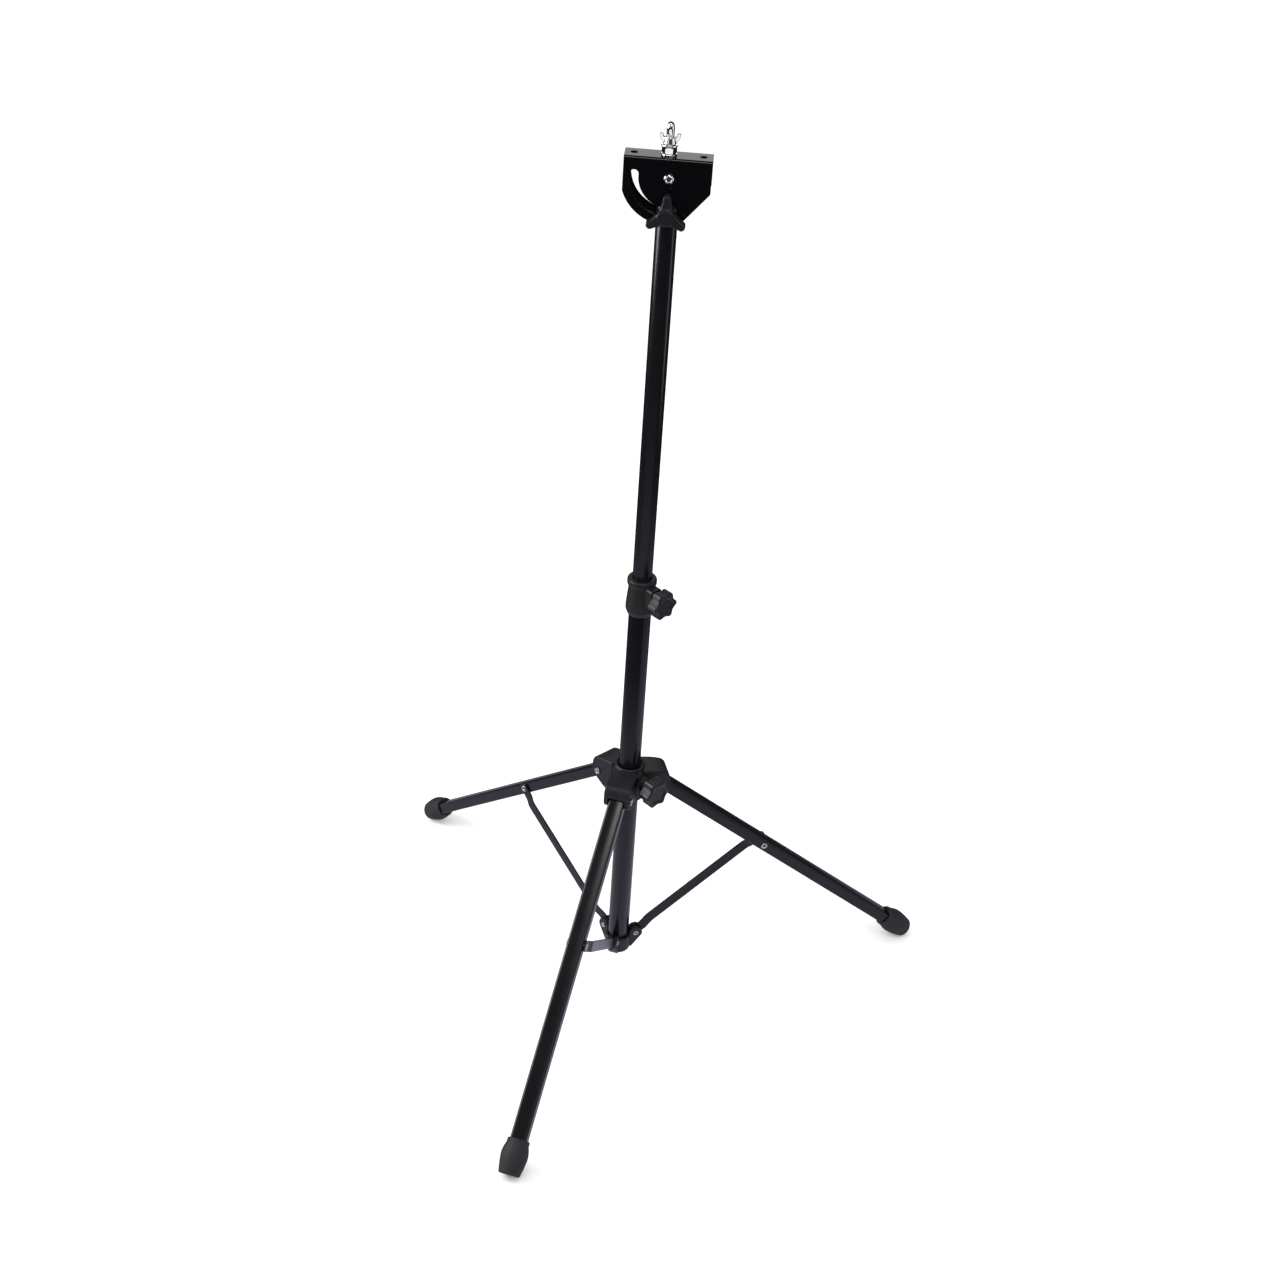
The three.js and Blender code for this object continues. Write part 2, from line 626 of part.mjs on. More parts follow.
// Plug whose top is rounded about the tilt axis, so that the bracket's bolt head passes over it.
function tubeCap() {
  const inner = UPPER_TUBE_R - TUBE_WALL - GAP;
  const rim = UPPER_TUBE_Z[1] + GAP;
  const dome = solid(rodZ(UPPER_TUBE_R, rim, PIVOT_Z + 14, TUBE_SIDES)).intersect(
    solid(rodY(CAP_ROUND_R, -FAR, FAR, 36, 0, PIVOT_Z)),
  );
  const plug = dome.add(solid(rodZ(inner, PIVOT_Z - 12, rim + 1, TUBE_SIDES)));
  return cut(plug, rodY(M6_R + GAP, -FAR, FAR, PIN_SIDES, 0, PIVOT_Z));
}

// Plastic foot of the upper tube, running inside the lower tube.
function slideBush() {
  const spigot = UPPER_TUBE_R - TUBE_WALL - GAP;
  const skirt = LOWER_TUBE_R - TUBE_WALL - GAP;
  const seat = UPPER_TUBE_Z[0] - GAP;
  return turned([
    [6, seat - 14],
    [skirt - 0.8, seat - 14],
    [skirt, seat - 13],
    [skirt, seat],
    [spigot, seat],
    [spigot, seat + 16],
    [spigot - 1, seat + 17],
    [6, seat + 17],
    [6, seat - 14],
  ]);
}

piece(stand, "slide_bush", slideBush(), BLACK_PLASTIC);
piece(stand, "upper_tube", upperTube(), BLACK_PAINT);
piece(stand, "tube_cap", tubeCap(), BLACK_PLASTIC);

// ---------- tilt clamp ----------
const clampFrame = new THREE.Group();
clampFrame.position.z = boltZ;
stand.add(clampFrame);

const bracketGap = BRACKET_HALF_DEPTH + GAP;
const washerFace = bracketGap + CLAMP_WASHER.thick;
const rearWasher = ringY(M8_R + GAP, CLAMP_WASHER.outerR, bracketGap, washerFace);
const frontWasher = ringY(M8_R + GAP, CLAMP_WASHER.outerR, -washerFace, -bracketGap);
const knobBase = -washerFace - GAP;

function ringY(inner, outer, y0, y1, sides = DISC_SIDES) {
  return ring(inner, outer, -y1, -y0, sides).rotateX(Math.PI / 2);
}

// Cup-headed bolt along Y, with its head at the back.
function clampBolt() {
  const headStart = washerFace + GAP;
  const head = new THREE.LatheGeometry(
    [
      [0, headStart],
      [8, headStart],
      [8, headStart + 1],
      [6.8, headStart + 2.9],
      [4.4, headStart + 4.2],
      [0, headStart + 4.8],
    ].map(([r, y]) => new THREE.Vector2(r, y)),
    28,
  );
  return joined(head, rodY(M8_R, knobBase - 11, headStart + 1));
}

// Three rounded arms joined by hollow sides.
function threeArmOutline({ tipR, tipRound, waist }) {
  const shape = new THREE.Shape();
  const armCentre = tipR - tipRound;
  for (let arm = 0; arm < 3; arm++) {
    const angle = degrees(90 + 120 * arm);
    const next = angle + degrees(60);
    const spread = degrees(72);
    const x = armCentre * Math.cos(angle);
    const y = armCentre * Math.sin(angle);
    shape.absarc(x, y, tipRound, angle - spread, angle + spread);
    const following = angle + degrees(120);
    shape.quadraticCurveTo(
      waist * Math.cos(next),
      waist * Math.sin(next),
      armCentre * Math.cos(following) + tipRound * Math.cos(following - spread),
      armCentre * Math.sin(following) + tipRound * Math.sin(following - spread),
    );
  }
  return shape;
}

function tiltKnob() {
  const arms = sidePlate(threeArmOutline(TILT_KNOB), knobBase - 13, knobBase - 2.5, 1.8, 5);
  const hub = rodY(TILT_KNOB.hubR, knobBase - TILT_KNOB.depth, knobBase, DISC_SIDES);
  const seat = rodY(INSERT_R + GAP, knobBase - 12.5, knobBase + 1, DISC_SIDES);
  return cut(joined(hub, arms), seat);
}

piece(clampFrame, "clamp_bolt", clampBolt(), ZINC);
piece(clampFrame, "clamp_washer_rear", rearWasher, ZINC);
piece(clampFrame, "clamp_washer_front", frontWasher, ZINC);
const insert = ringY(M8_R + NUT_HOLE_GAP, INSERT_R, knobBase - 12, knobBase - 0.2);
piece(clampFrame, "tilt_knob_insert", insert, BRASS);
piece(clampFrame, "tilt_knob", tiltKnob(), BLACK_PLASTIC);

// ---------- tilting head ----------
const head = new THREE.Group();
head.position.z = PIVOT_Z;
stand.add(head);

// Folded sheet seen from its end: two side plates under a top plate.
function bracketFold() {
  const low = -BRACKET_ARC_R - 4;
  const shape = new THREE.Shape();
  const bends = [
    { half: BRACKET_HALF_DEPTH, top: BRACKET_TOP, radius: BRACKET_BEND_R },
    {
      half: BRACKET_HALF_DEPTH - BRACKET_SHEET,
      top: BRACKET_TOP - BRACKET_SHEET,
      radius: BRACKET_BEND_R - BRACKET_SHEET,
    },
  ];
  const [outer, inner] = bends;
  shape.moveTo(outer.half, low);
  shape.absarc(outer.half - outer.radius, outer.top - outer.radius, outer.radius, 0, Math.PI / 2);
  shape.absarc(
    -outer.half + outer.radius,
    outer.top - outer.radius,
    outer.radius,
    Math.PI / 2,
    Math.PI,
  );
  shape.lineTo(-outer.half, low);
  shape.lineTo(-inner.half, low);
  shape.absarc(
    -inner.half + inner.radius,
    inner.top - inner.radius,
    inner.radius,
    Math.PI,
    Math.PI / 2,
    true,
  );
  shape.absarc(
    inner.half - inner.radius,
    inner.top - inner.radius,
    inner.radius,
    Math.PI / 2,
    0,
    true,
  );
  shape.lineTo(inner.half, low);
  return shape;
}

// Side view of the bracket: a quadrant about the tilt axis on the left, a slant on the right.
function bracketOutline() {
  const shape = new THREE.Shape();
  const arcStart = Math.acos(BRACKET_LEFT / BRACKET_ARC_R);
  const corner = 4;
  const slantTop = -13;
  shape.moveTo(BRACKET_RIGHT, BRACKET_TOP + 2);
  shape.lineTo(BRACKET_LEFT, BRACKET_TOP + 2);
  shape.absarc(0, 0, BRACKET_ARC_R, -arcStart, degrees(-76), false);
  shape.quadraticCurveTo(14, -45.6, 14 + corner * 0.64, -45.6 + corner * 0.76);
  shape.lineTo(BRACKET_RIGHT - 1, slantTop - 1.2);
  shape.quadraticCurveTo(BRACKET_RIGHT, slantTop, BRACKET_RIGHT, slantTop + 2);
  return shape;
}

// Curved slot round the tilt axis that the clamp bolt runs in.
function clampSlot() {
  const [from, to] = SLOT_ENDS.map((angle) => degrees(-90 - angle));
  const shape = new THREE.Shape();
  const along = (radius, angle) => [radius * Math.cos(angle), radius * Math.sin(angle)];
  const [fromX, fromZ] = along(SLOT_R, from);
  const [toX, toZ] = along(SLOT_R, to);
  shape.absarc(0, 0, SLOT_R + SLOT_HALF, from, to, true);
  shape.absarc(toX, toZ, SLOT_HALF, to, to - Math.PI, true);
  shape.absarc(0, 0, SLOT_R - SLOT_HALF, to, from, false);
  shape.absarc(fromX, fromZ, SLOT_HALF, from + Math.PI, from, true);
  return shape;
}

function tiltBracket() {
  const folded = solid(sweptX(bracketFold(), BRACKET_LEFT - 2, BRACKET_RIGHT + 2));
  const trimmed = folded.intersect(solid(sidePlate(bracketOutline(), -FAR, FAR, 0, 14)));
  const topDrills = [-1, 1].map((side) =>
    rodZ(TOP_HOLE_R, 10, 30, PIN_SIDES, STUD_X + (side * TOP_HOLE_PITCH) / 2),
  );
  return cut(
    trimmed,
    sidePlate(clampSlot(), -FAR, FAR, 0, 10),
    rodY(M6_R + GAP, -FAR, FAR),
    rodZ(M8_R + GAP, 10, 30, PIN_SIDES, STUD_X),
    ...topDrills,
  );
}

// Button-headed screw along Y with a hexagonal socket, its head in front.
function pivotScrew() {
  const face = -bracketGap;
  const profile = [
    [0, 0],
    [5.4, 0],
    [5.4, 0.5],
    [4.6, 2.1],
    [3.2, 3],
    [0, 3.2],
  ].map(([r, y]) => new THREE.Vector2(r, y));
  const button = new THREE.LatheGeometry(profile, DISC_SIDES)
    .rotateX(Math.PI)
    .translate(0, face, 0);
  const socket = new THREE.ExtrudeGeometry(hexagon(4), { depth: 3, bevelEnabled: false })
    .rotateX(Math.PI / 2)
    .translate(0, face - 1, 0);
  const shank = rodY(M6_R, face - 0.5, BRACKET_HALF_DEPTH + 10);
  return cut(joined(shank, button), socket);
}

function hexNutY(y0, y1) {
  const nut = cut(hexBody(M6_FLATS, -y1, -y0), rodZ(M6_R + NUT_HOLE_GAP, -y1 - 1, -y0 + 1));
  return geometryOf(nut).rotateX(Math.PI / 2);
}

piece(head, "tilt_bracket", tiltBracket(), GLOSS_PAINT);
piece(head, "pivot_screw", pivotScrew(), CHROME);
const pivotWasherEnd = bracketGap + PIVOT_WASHER.thick;
const pivotWasher = ringY(M6_R + GAP, PIVOT_WASHER.outerR, bracketGap, pivotWasherEnd);
piece(head, "pivot_washer", pivotWasher, ZINC);
const pivotNutStart = pivotWasherEnd + GAP;
const pivotNutEnd = pivotNutStart + M6_NUT_THICK;
piece(head, "pivot_nut", hexNutY(pivotNutStart, pivotNutEnd), ZINC);

// ---------- stud on the head ----------
const studFrame = new THREE.Group();
studFrame.position.x = STUD_X;
head.add(studFrame);

const headTop = BRACKET_TOP - BRACKET_SHEET - GAP;

function headStud() {
  const shank = turned(
    [
      [0, headTop - 1],
      [M8_R, headTop - 1],
      [M8_R, STUD_TOP - 3.4],
      [M8_R - 0.4, STUD_TOP - 2],
      [M8_R - 1.5, STUD_TOP - 0.6],
      [0, STUD_TOP],
    ],
    PIN_SIDES,
  );
  return hexBody(M8_FLATS, headTop - BOLT_HEAD, headTop).add(solid(shank));
}

function studRing(outer, z0, z1) {
  return ring(M8_R + NUT_HOLE_GAP, outer, z0, z1, DISC_SIDES);
}

// Wing nut: a tapered barrel with two ears that rise outwards.
function wingNut(z0) {
  const barrel = turned(
    [[0, z0], [6.4, z0], [6.4, z0 + 1], [5.4, z0 + 6.6], [4.9, z0 + 7.2], [0, z0 + 7.2]],
    DISC_SIDES,
  );
  const ear = new THREE.Shape();
  ear.moveTo(3, z0 + 1.2);
  ear.lineTo(6.4, z0 + 1.8);
  ear.quadraticCurveTo(9.8, z0 + 4, 10.2, z0 + 8);
  ear.absarc(8.6, z0 + 9, 2, 0, 0.8 * Math.PI);
  ear.quadraticCurveTo(6.6, z0 + 6.4, 3, z0 + 6.2);
  const ears = [0, Math.PI].map((turn) => sidePlate(ear, -1.3, 1.3, 0.5, 4).rotateZ(turn));
  return cut(joined(barrel, ...ears), rodZ(M8_R + NUT_HOLE_GAP, z0 - 1, z0 + 14));
}

const washerBase = BRACKET_TOP + GAP;
const washerTop = washerBase + STUD_WASHER.thick;
const nutBase = washerTop + GAP;
const nutTop = nutBase + STUD_NUT_THICK;
const wingWasherBase = nutTop + WING_WASHER.lift;
const wingWasherTop = wingWasherBase + WING_WASHER.thick;
const lockNut = cut(
  hexBody(M8_FLATS, nutBase, nutTop),
  rodZ(M8_R + NUT_HOLE_GAP, nutBase - 1, nutTop + 1),
);
const wingWasher = studRing(WING_WASHER.outerR, wingWasherBase, wingWasherTop);
piece(studFrame, "head_stud", headStud(), CHROME);
piece(studFrame, "stud_washer", studRing(STUD_WASHER.outerR, washerBase, washerTop), CHROME);
piece(studFrame, "stud_nut", lockNut, CHROME);
piece(studFrame, "wing_washer", wingWasher, CHROME);
piece(studFrame, "wing_nut", wingNut(wingWasherTop + GAP), CHROME);

// The part's origin is on the floor, in the middle of the box round the three feet.
stand.updateMatrixWorld(true);
const footprint = new THREE.Box3().setFromObject(stand, true);
const middle = footprint.getCenter(new THREE.Vector3());
stand.position.set(-middle.x, -middle.y, -footprint.min.z);

export default stand;
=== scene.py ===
import json
import math

import bmesh
import bpy
import numpy as np
from mathutils import Matrix, Vector
from mathutils.geometry import tessellate_polygon


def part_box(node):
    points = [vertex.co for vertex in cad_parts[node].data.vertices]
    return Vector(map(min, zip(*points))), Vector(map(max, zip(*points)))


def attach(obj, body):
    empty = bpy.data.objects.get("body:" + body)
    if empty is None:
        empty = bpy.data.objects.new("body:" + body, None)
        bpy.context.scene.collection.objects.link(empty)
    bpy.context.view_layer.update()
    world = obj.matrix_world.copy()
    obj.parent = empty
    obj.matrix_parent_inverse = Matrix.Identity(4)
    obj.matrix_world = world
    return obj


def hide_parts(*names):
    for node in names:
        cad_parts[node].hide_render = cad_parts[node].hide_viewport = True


# Folding tripod stand with a tilting head. Every CAD node gets a finer piece in its place, built
# in local millimetres and set down from the CAD boxes.
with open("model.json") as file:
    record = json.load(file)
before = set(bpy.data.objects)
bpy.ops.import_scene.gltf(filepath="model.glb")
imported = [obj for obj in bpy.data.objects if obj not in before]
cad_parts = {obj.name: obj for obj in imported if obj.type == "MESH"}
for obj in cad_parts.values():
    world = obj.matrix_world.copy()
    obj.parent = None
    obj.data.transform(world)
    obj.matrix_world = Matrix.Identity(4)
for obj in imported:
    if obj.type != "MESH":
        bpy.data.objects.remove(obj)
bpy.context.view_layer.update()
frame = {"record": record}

MM = 0.001
AROUND, FINE = 96, 144  # sides of a plain and of a large turned form
LETTERS = "abc"  # the three legs: front, right, left
THROUGH = 30.0  # half length of a cutter that runs right through a piece

record = frame["record"]
BODY_OF = {node: body for body, nodes in record["behaviour"]["bodies"].items() for node in nodes}
SLOT_OF = {part["node"]: part["material_slot"] for part in record["subparts"]}

# Sizes in millimetres, as in the CAD.
GAP = 0.3
LOWER_R, UPPER_R, WALL = 12.7, 11.0, 1.2
LEG_W, LEG_H, LEG_WALL, LEG_CORNER, LEG_LIP, LEG_END_R = 19.3, 14.7, 1.2, 2.0, 4.2, 9.5
LEG_CROWN, LEG_SHOULDER = 0.8, 4.6  # the channel's slightly bulged back and its round shoulders
CROWN_PART = 0.5  # how much of the half width the bulge covers
LEG_LENGTH, FOOT_LENGTH, FOOT_FLOOR = 441.0, 40.0, 12.5
HUB_BORE, HUB_SLEEVE, HUB_PIVOT_R = 13.3, 17.6, 38.0
HOOD_HALF, HOOD_SLOT, HOOD_TIP = 15.5, 10.2, 9.8
CUP_R, CUP_HEIGHT, FORK_HALF, FORK_SLOT, EAR_R = 15.4, 21.0, 6.0, 1.4, 8.5
FORK_IN, FORK_SLOT_IN, FORK_SLOT_LOW = 13.4, 13.2, 41.0  # nearest to the axis, and the slot's foot
BRACE_W, BRACE_T, BRACE_SIDE = 13.0, 2.0, 11.0
KNOB_LOBES, KNOB_FLUTE, KNOB_RIBS, RIB_DEPTH = 6, 3.4, 60, 0.28
BUTTON_H, SOCKET_SHADE_DEPTH = 3.2, 0.35  # the pivot screw's head, and how deep in its recess the painted shade starts
M6_R, M6_FLATS, M6_PITCH = 3.0, 10.0, 1.0
M8_R, M8_FLATS, M8_PITCH = 4.0, 13.0, 1.25
NUT_GAP = 0.25
SHEET, FOLD_HALF, FOLD_TOP, BEND_R = 1.8, 13.0, 20.0, 2.6
BRACKET_LEFT, BRACKET_RIGHT, BRACKET_ARC = -45.5, 41.5, 48.0
ARC_END, SLOPE_FOOT = -76, (16.56, -42.56)  # where the round edge and the sloping edge end
CLAMP_SLOT_R, CLAMP_SLOT_HALF, CLAMP_SLOT_ENDS = 34.5, 4.4, (-10, 94)
STUD_X, TOP_HOLE_PITCH, TOP_HOLE_R, STUD_TOP = -2.0, 68.0, 3.5, 53.0


# ---------- where things are ----------
def centre(node):
    low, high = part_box(node)
    return (low + high) / 2


def span(node):
    """Lowest and highest z of a CAD node, in millimetres."""
    low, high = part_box(node)
    return low.z / MM, high.z / MM


def placed(origin, bearing=0.0, dip=0.0):
    """Local millimetres to the row frame: X points to the bearing and dips below the horizon."""
    turn = Matrix.Rotation(bearing, 4, "Z") @ Matrix.Rotation(dip, 4, "Y")
    return Matrix.Translation(origin) @ turn @ Matrix.Scale(MM, 4)


MAST = centre("lower_tube") * Vector((1, 1, 0))
PIVOT = Vector((MAST.x, MAST.y, centre("pivot_screw").z))
CLAMP = Vector((MAST.x, MAST.y, centre("clamp_bolt").z))
STUD = Vector((centre("head_stud").x, MAST.y, PIVOT.z))
ALONG_X = Matrix(((0, 0, 1, 0), (1, 0, 0, 0), (0, 1, 0, 0), (0, 0, 0, 1)))
ALONG_Y = Matrix.Rotation(-math.pi / 2, 4, "X")
SIDE_ON = Matrix.Rotation(math.pi / 2, 4, "X")


def bearing_of(node):
    away = centre(node) - MAST
    return math.atan2(away.y, away.x)


def reach(start, end, bearing):
    """Radial and vertical distance in millimetres between two nodes' centres."""
    step = (centre(end) - centre(start)) / MM
    return step.x * math.cos(bearing) + step.y * math.sin(bearing), step.z


# ---------- outlines ----------
def arc(x, y, radius, start, end, steps=16):
    """Points on an arc; the angles are in degrees."""
    turns = [math.radians(start + (end - start) * k / steps) for k in range(steps + 1)]
    return [(x + radius * math.cos(a), y + radius * math.sin(a)) for a in turns]


def bow(start, pull, end, steps=8):
    """A quadratic curve from start to end, drawn towards pull."""
    points = []
    for k in range(steps + 1):
        t = k / steps
        ends, middle = (1 - t) ** 2, 2 * t * (1 - t)
        points.append(tuple(ends * a + middle * b + t * t * c
                            for a, b, c in zip(start, pull, end)))
    return points


def rounded(corners, steps=5):
    """A closed outline of (x, y, radius) corners, each rounded to its radius."""
    points = []
    for k, (x, y, radius) in enumerate(corners):
        here = Vector((x, y))
        before = Vector(corners[k - 1][:2]) - here
        after = Vector(corners[(k + 1) % len(corners)][:2]) - here
        if radius <= 0:
            points.append((x, y))
            continue
        half = before.angle(after) / 2
        trim = min(radius / math.tan(half), before.length * 0.49, after.length * 0.49)
        radius = trim * math.tan(half)
        middle = here + (before.normalized() + after.normalized()).normalized() * (
            radius / math.sin(half))
        first = before.normalized() * trim + here - middle
        last = after.normalized() * trim + here - middle
        start = math.atan2(first.y, first.x)
        sweep = (math.atan2(last.y, last.x) - start + math.pi) % (2 * math.pi) - math.pi
        for s in range(steps + 1):
            a = start + sweep * s / steps
            points.append((middle.x + radius * math.cos(a), middle.y + radius * math.sin(a)))
    return points


def box_outline(half_w, half_h, radius):
    return rounded([(half_w, -half_h, radius), (half_w, half_h, radius),
                    (-half_w, half_h, radius), (-half_w, -half_h, radius)], 6)


def hexagon(flats):
    corner = flats / math.sqrt(3)
    return [(corner * math.cos(k * math.pi / 3), corner * math.sin(k * math.pi / 3))
            for k in range(6)]


def circle(x, y, radius, steps=48):
    return arc(x, y, radius, 0, 360, steps)[:-1]


def polar(radius, degrees):
    return radius * math.cos(math.radians(degrees)), radius * math.sin(math.radians(degrees))


# ---------- solids ----------
def linked(name, data):
    """A new object in the scene's collection."""
    item = bpy.data.objects.new(name, data)
    bpy.context.scene.collection.objects.link(item)
    return item


def mesh_from(verts, faces):
    mesh = bpy.data.meshes.new("form")
    mesh.from_pydata([tuple(v) for v in verts], [], faces)
    work = bmesh.new()
    work.from_mesh(mesh)
    bmesh.ops.remove_doubles(work, verts=work.verts, dist=1e-4)
    bmesh.ops.recalc_face_normals(work, faces=work.faces)
    work.to_mesh(mesh)
    work.free()
    return mesh


def turned(profile, around=AROUND, shape=None):
    """A solid of revolution about Z from (radius, z) points. A profile with no point on the axis is
    closed into a ring. shape(point, angle) may change a point's radius round the turn."""
    verts, rings = [], []
    for point in profile:
        if point[0] < 1e-6:
            rings.append([len(verts)])
            verts.append((0, 0, point[1]))
            continue
        rings.append(list(range(len(verts), len(verts) + around)))
        for k in range(around):
            a = 2 * math.pi * k / around
            r = shape(point, a) if shape else point[0]
            verts.append((r * math.cos(a), r * math.sin(a), point[1]))
    pairs = list(zip(rings, rings[1:]))
    if len(rings[0]) > 1 and len(rings[-1]) > 1:
        pairs.append((rings[-1], rings[0]))
    faces = []
    for low, high in pairs:
        for k in range(around):
            n = (k + 1) % around
            ring = [low[k % len(low)], low[n % len(low)], high[n % len(high)], high[k % len(high)]]
            corners = list(dict.fromkeys(ring))
            if len(corners) > 2:
                faces.append(corners)
    return mesh_from(verts, faces)


def inset(loop, amount):
    """Moves a loop into its material, which lies on its left, with mitred corners."""
    points = np.array(loop, float)
    ahead = np.roll(points, -1, axis=0) - points
    ahead /= np.linalg.norm(ahead, axis=1)[:, None]
    left = np.stack([-ahead[:, 1], ahead[:, 0]], axis=1)
    middle = left + np.roll(left, 1, axis=0)
    middle /= np.linalg.norm(middle, axis=1)[:, None]
    stretch = 1 / np.maximum((middle * left).sum(axis=1), 0.4)
    return points + middle * (amount * stretch)[:, None]


def wound(loop, sign):
    points = np.array(loop, float)
    ahead = np.roll(points, -1, axis=0)
    area = (points[:, 0] * ahead[:, 1] - points[:, 1] * ahead[:, 0]).sum()
    return points if area * sign > 0 else points[::-1]


def plate(outline, low, high, edge=0.0, holes=(), steps=3):
    """An outline in X and Y given thickness along Z, with its edges rounded."""
    loops = [wound(outline, 1)] + [wound(hole, -1) for hole in holes]
    levels = [(0.0, low), (0.0, high)]
    if edge > 0:
        turns = np.linspace(0, math.pi / 2, steps + 1)
        foot = [(edge * (1 - math.sin(t)), edge * (1 - math.cos(t))) for t in turns]
        levels = [(i, low + w) for i, w in foot] + [(i, high - w) for i, w in reversed(foot)]
    verts, rows = [], []
    for amount, z in levels:
        row = []
        for loop in loops:
            points = inset(loop, amount)
            row.append(list(range(len(verts), len(verts) + len(points))))
            verts += [(x, y, z) for x, y in points]
        rows.append(row)
    faces = []
    for below, above in zip(rows, rows[1:]):
        for lower, upper in zip(below, above):
            count = len(lower)
            for k in range(count):
                n = (k + 1) % count
                faces.append((lower[k], lower[n], upper[n], upper[k]))
    for row in (rows[0], rows[-1]):
        flat = [index for loop in row for index in loop]
        corners = [[Vector(verts[index]) for index in loop] for loop in row]
        faces += [tuple(flat[index] for index in face) for face in tessellate_polygon(corners)]
    return mesh_from(verts, faces)


def moved(mesh, matrix):
    mesh.transform(matrix)
    return mesh


def shift(x=0, y=0, z=0):
    return Matrix.Translation((x, y, z))


def side_plate(outline, low, high, edge=0.0, holes=(), steps=3):
    """An outline in X and Z given thickness along Y."""
    return moved(plate(outline, -high, -low, edge, holes, steps), SIDE_ON)


def swept(outline, low, high, edge=0.0):
    """An outline in Y and Z swept along X."""
    return moved(plate(outline, low, high, edge), ALONG_X)


def rod(radius, low, high, steps=48):
    return plate(circle(0, 0, radius, steps), low, high)


def rod_x(radius, low, high, z=0.0):
    return moved(rod(radius, low, high), shift(z=z) @ ALONG_X)


def rod_y(radius, x=0.0, z=0.0):
    return moved(rod(radius, -THROUGH, THROUGH), shift(x, 0, z) @ ALONG_Y)


def worked(mesh, modifiers):
    """The mesh after a list of (type, settings) modifiers."""
    holder = linked("work", mesh)
    helpers = []
    for kind, settings in modifiers:
        modifier = holder.modifiers.new(kind, kind)
        for key, value in settings.items():
            if isinstance(value, bpy.types.Mesh):
                value = linked("helper", value)
                helpers.append(value)
            setattr(modifier, key, value)
    bpy.context.view_layer.update()
    depsgraph = bpy.context.evaluated_depsgraph_get()
    result = bpy.data.meshes.new_from_object(holder.evaluated_get(depsgraph))
    for item in [holder] + helpers:
        used = item.data
        bpy.data.objects.remove(item)
        bpy.data.meshes.remove(used)
    return result


def boolean(operation, base, *tools):
    step = {"operation": operation, "solver": "MANIFOLD"}
    return worked(base, [("BOOLEAN", {**step, "object": tool}) for tool in tools])


def cut(base, *tools):
    return boolean("DIFFERENCE", base, *tools)


def joined(base, *tools):
    return boolean("UNION", base, *tools)


def moulded(mesh, voxel, rounds=4):
    """Rounds every edge as a moulding's are: a voxel remesh, then a little smoothing."""
    return worked(mesh, [
        ("REMESH", {"mode": "VOXEL", "voxel_size": voxel}),
        ("SMOOTH", {"factor": 0.5, "iterations": rounds}),
    ])


def bent(mesh, stations, curve):
    """Slices the mesh across X or Y at the stations, then moves every vertex by curve(array)."""
    work = bmesh.new()
    work.from_mesh(mesh)
    for axis, value in stations:
        where = Vector((0, 0, 0))
        where[axis] = value
        normal = Vector((0, 0, 0))
        normal[axis] = 1
        everything = work.verts[:] + work.edges[:] + work.faces[:]
        bmesh.ops.bisect_plane(work, geom=everything, plane_co=where, plane_no=normal)
    work.to_mesh(mesh)
    work.free()
    points = np.array([v.co for v in mesh.vertices], float)
    mesh.vertices.foreach_set("co", curve(points).astype(np.float32).ravel())
    mesh.update()
    return mesh


# ---------- finishes ----------
class Nodes:
    """Adds nodes to a tree; an input takes a value or another node's output."""

    def __init__(self, tree):
        self.tree = tree

    def add(self, kind, inputs=None, **settings):
        node = self.tree.nodes.new(kind)
        for key, value in settings.items():
            setattr(node, key, value)
        for key, value in (inputs or {}).items():
            self.feed(node.inputs[key], value)
        return node

    def feed(self, socket, value):
        if isinstance(value, bpy.types.NodeSocket):
            self.tree.links.new(value, socket)
        else:
            socket.default_value = value


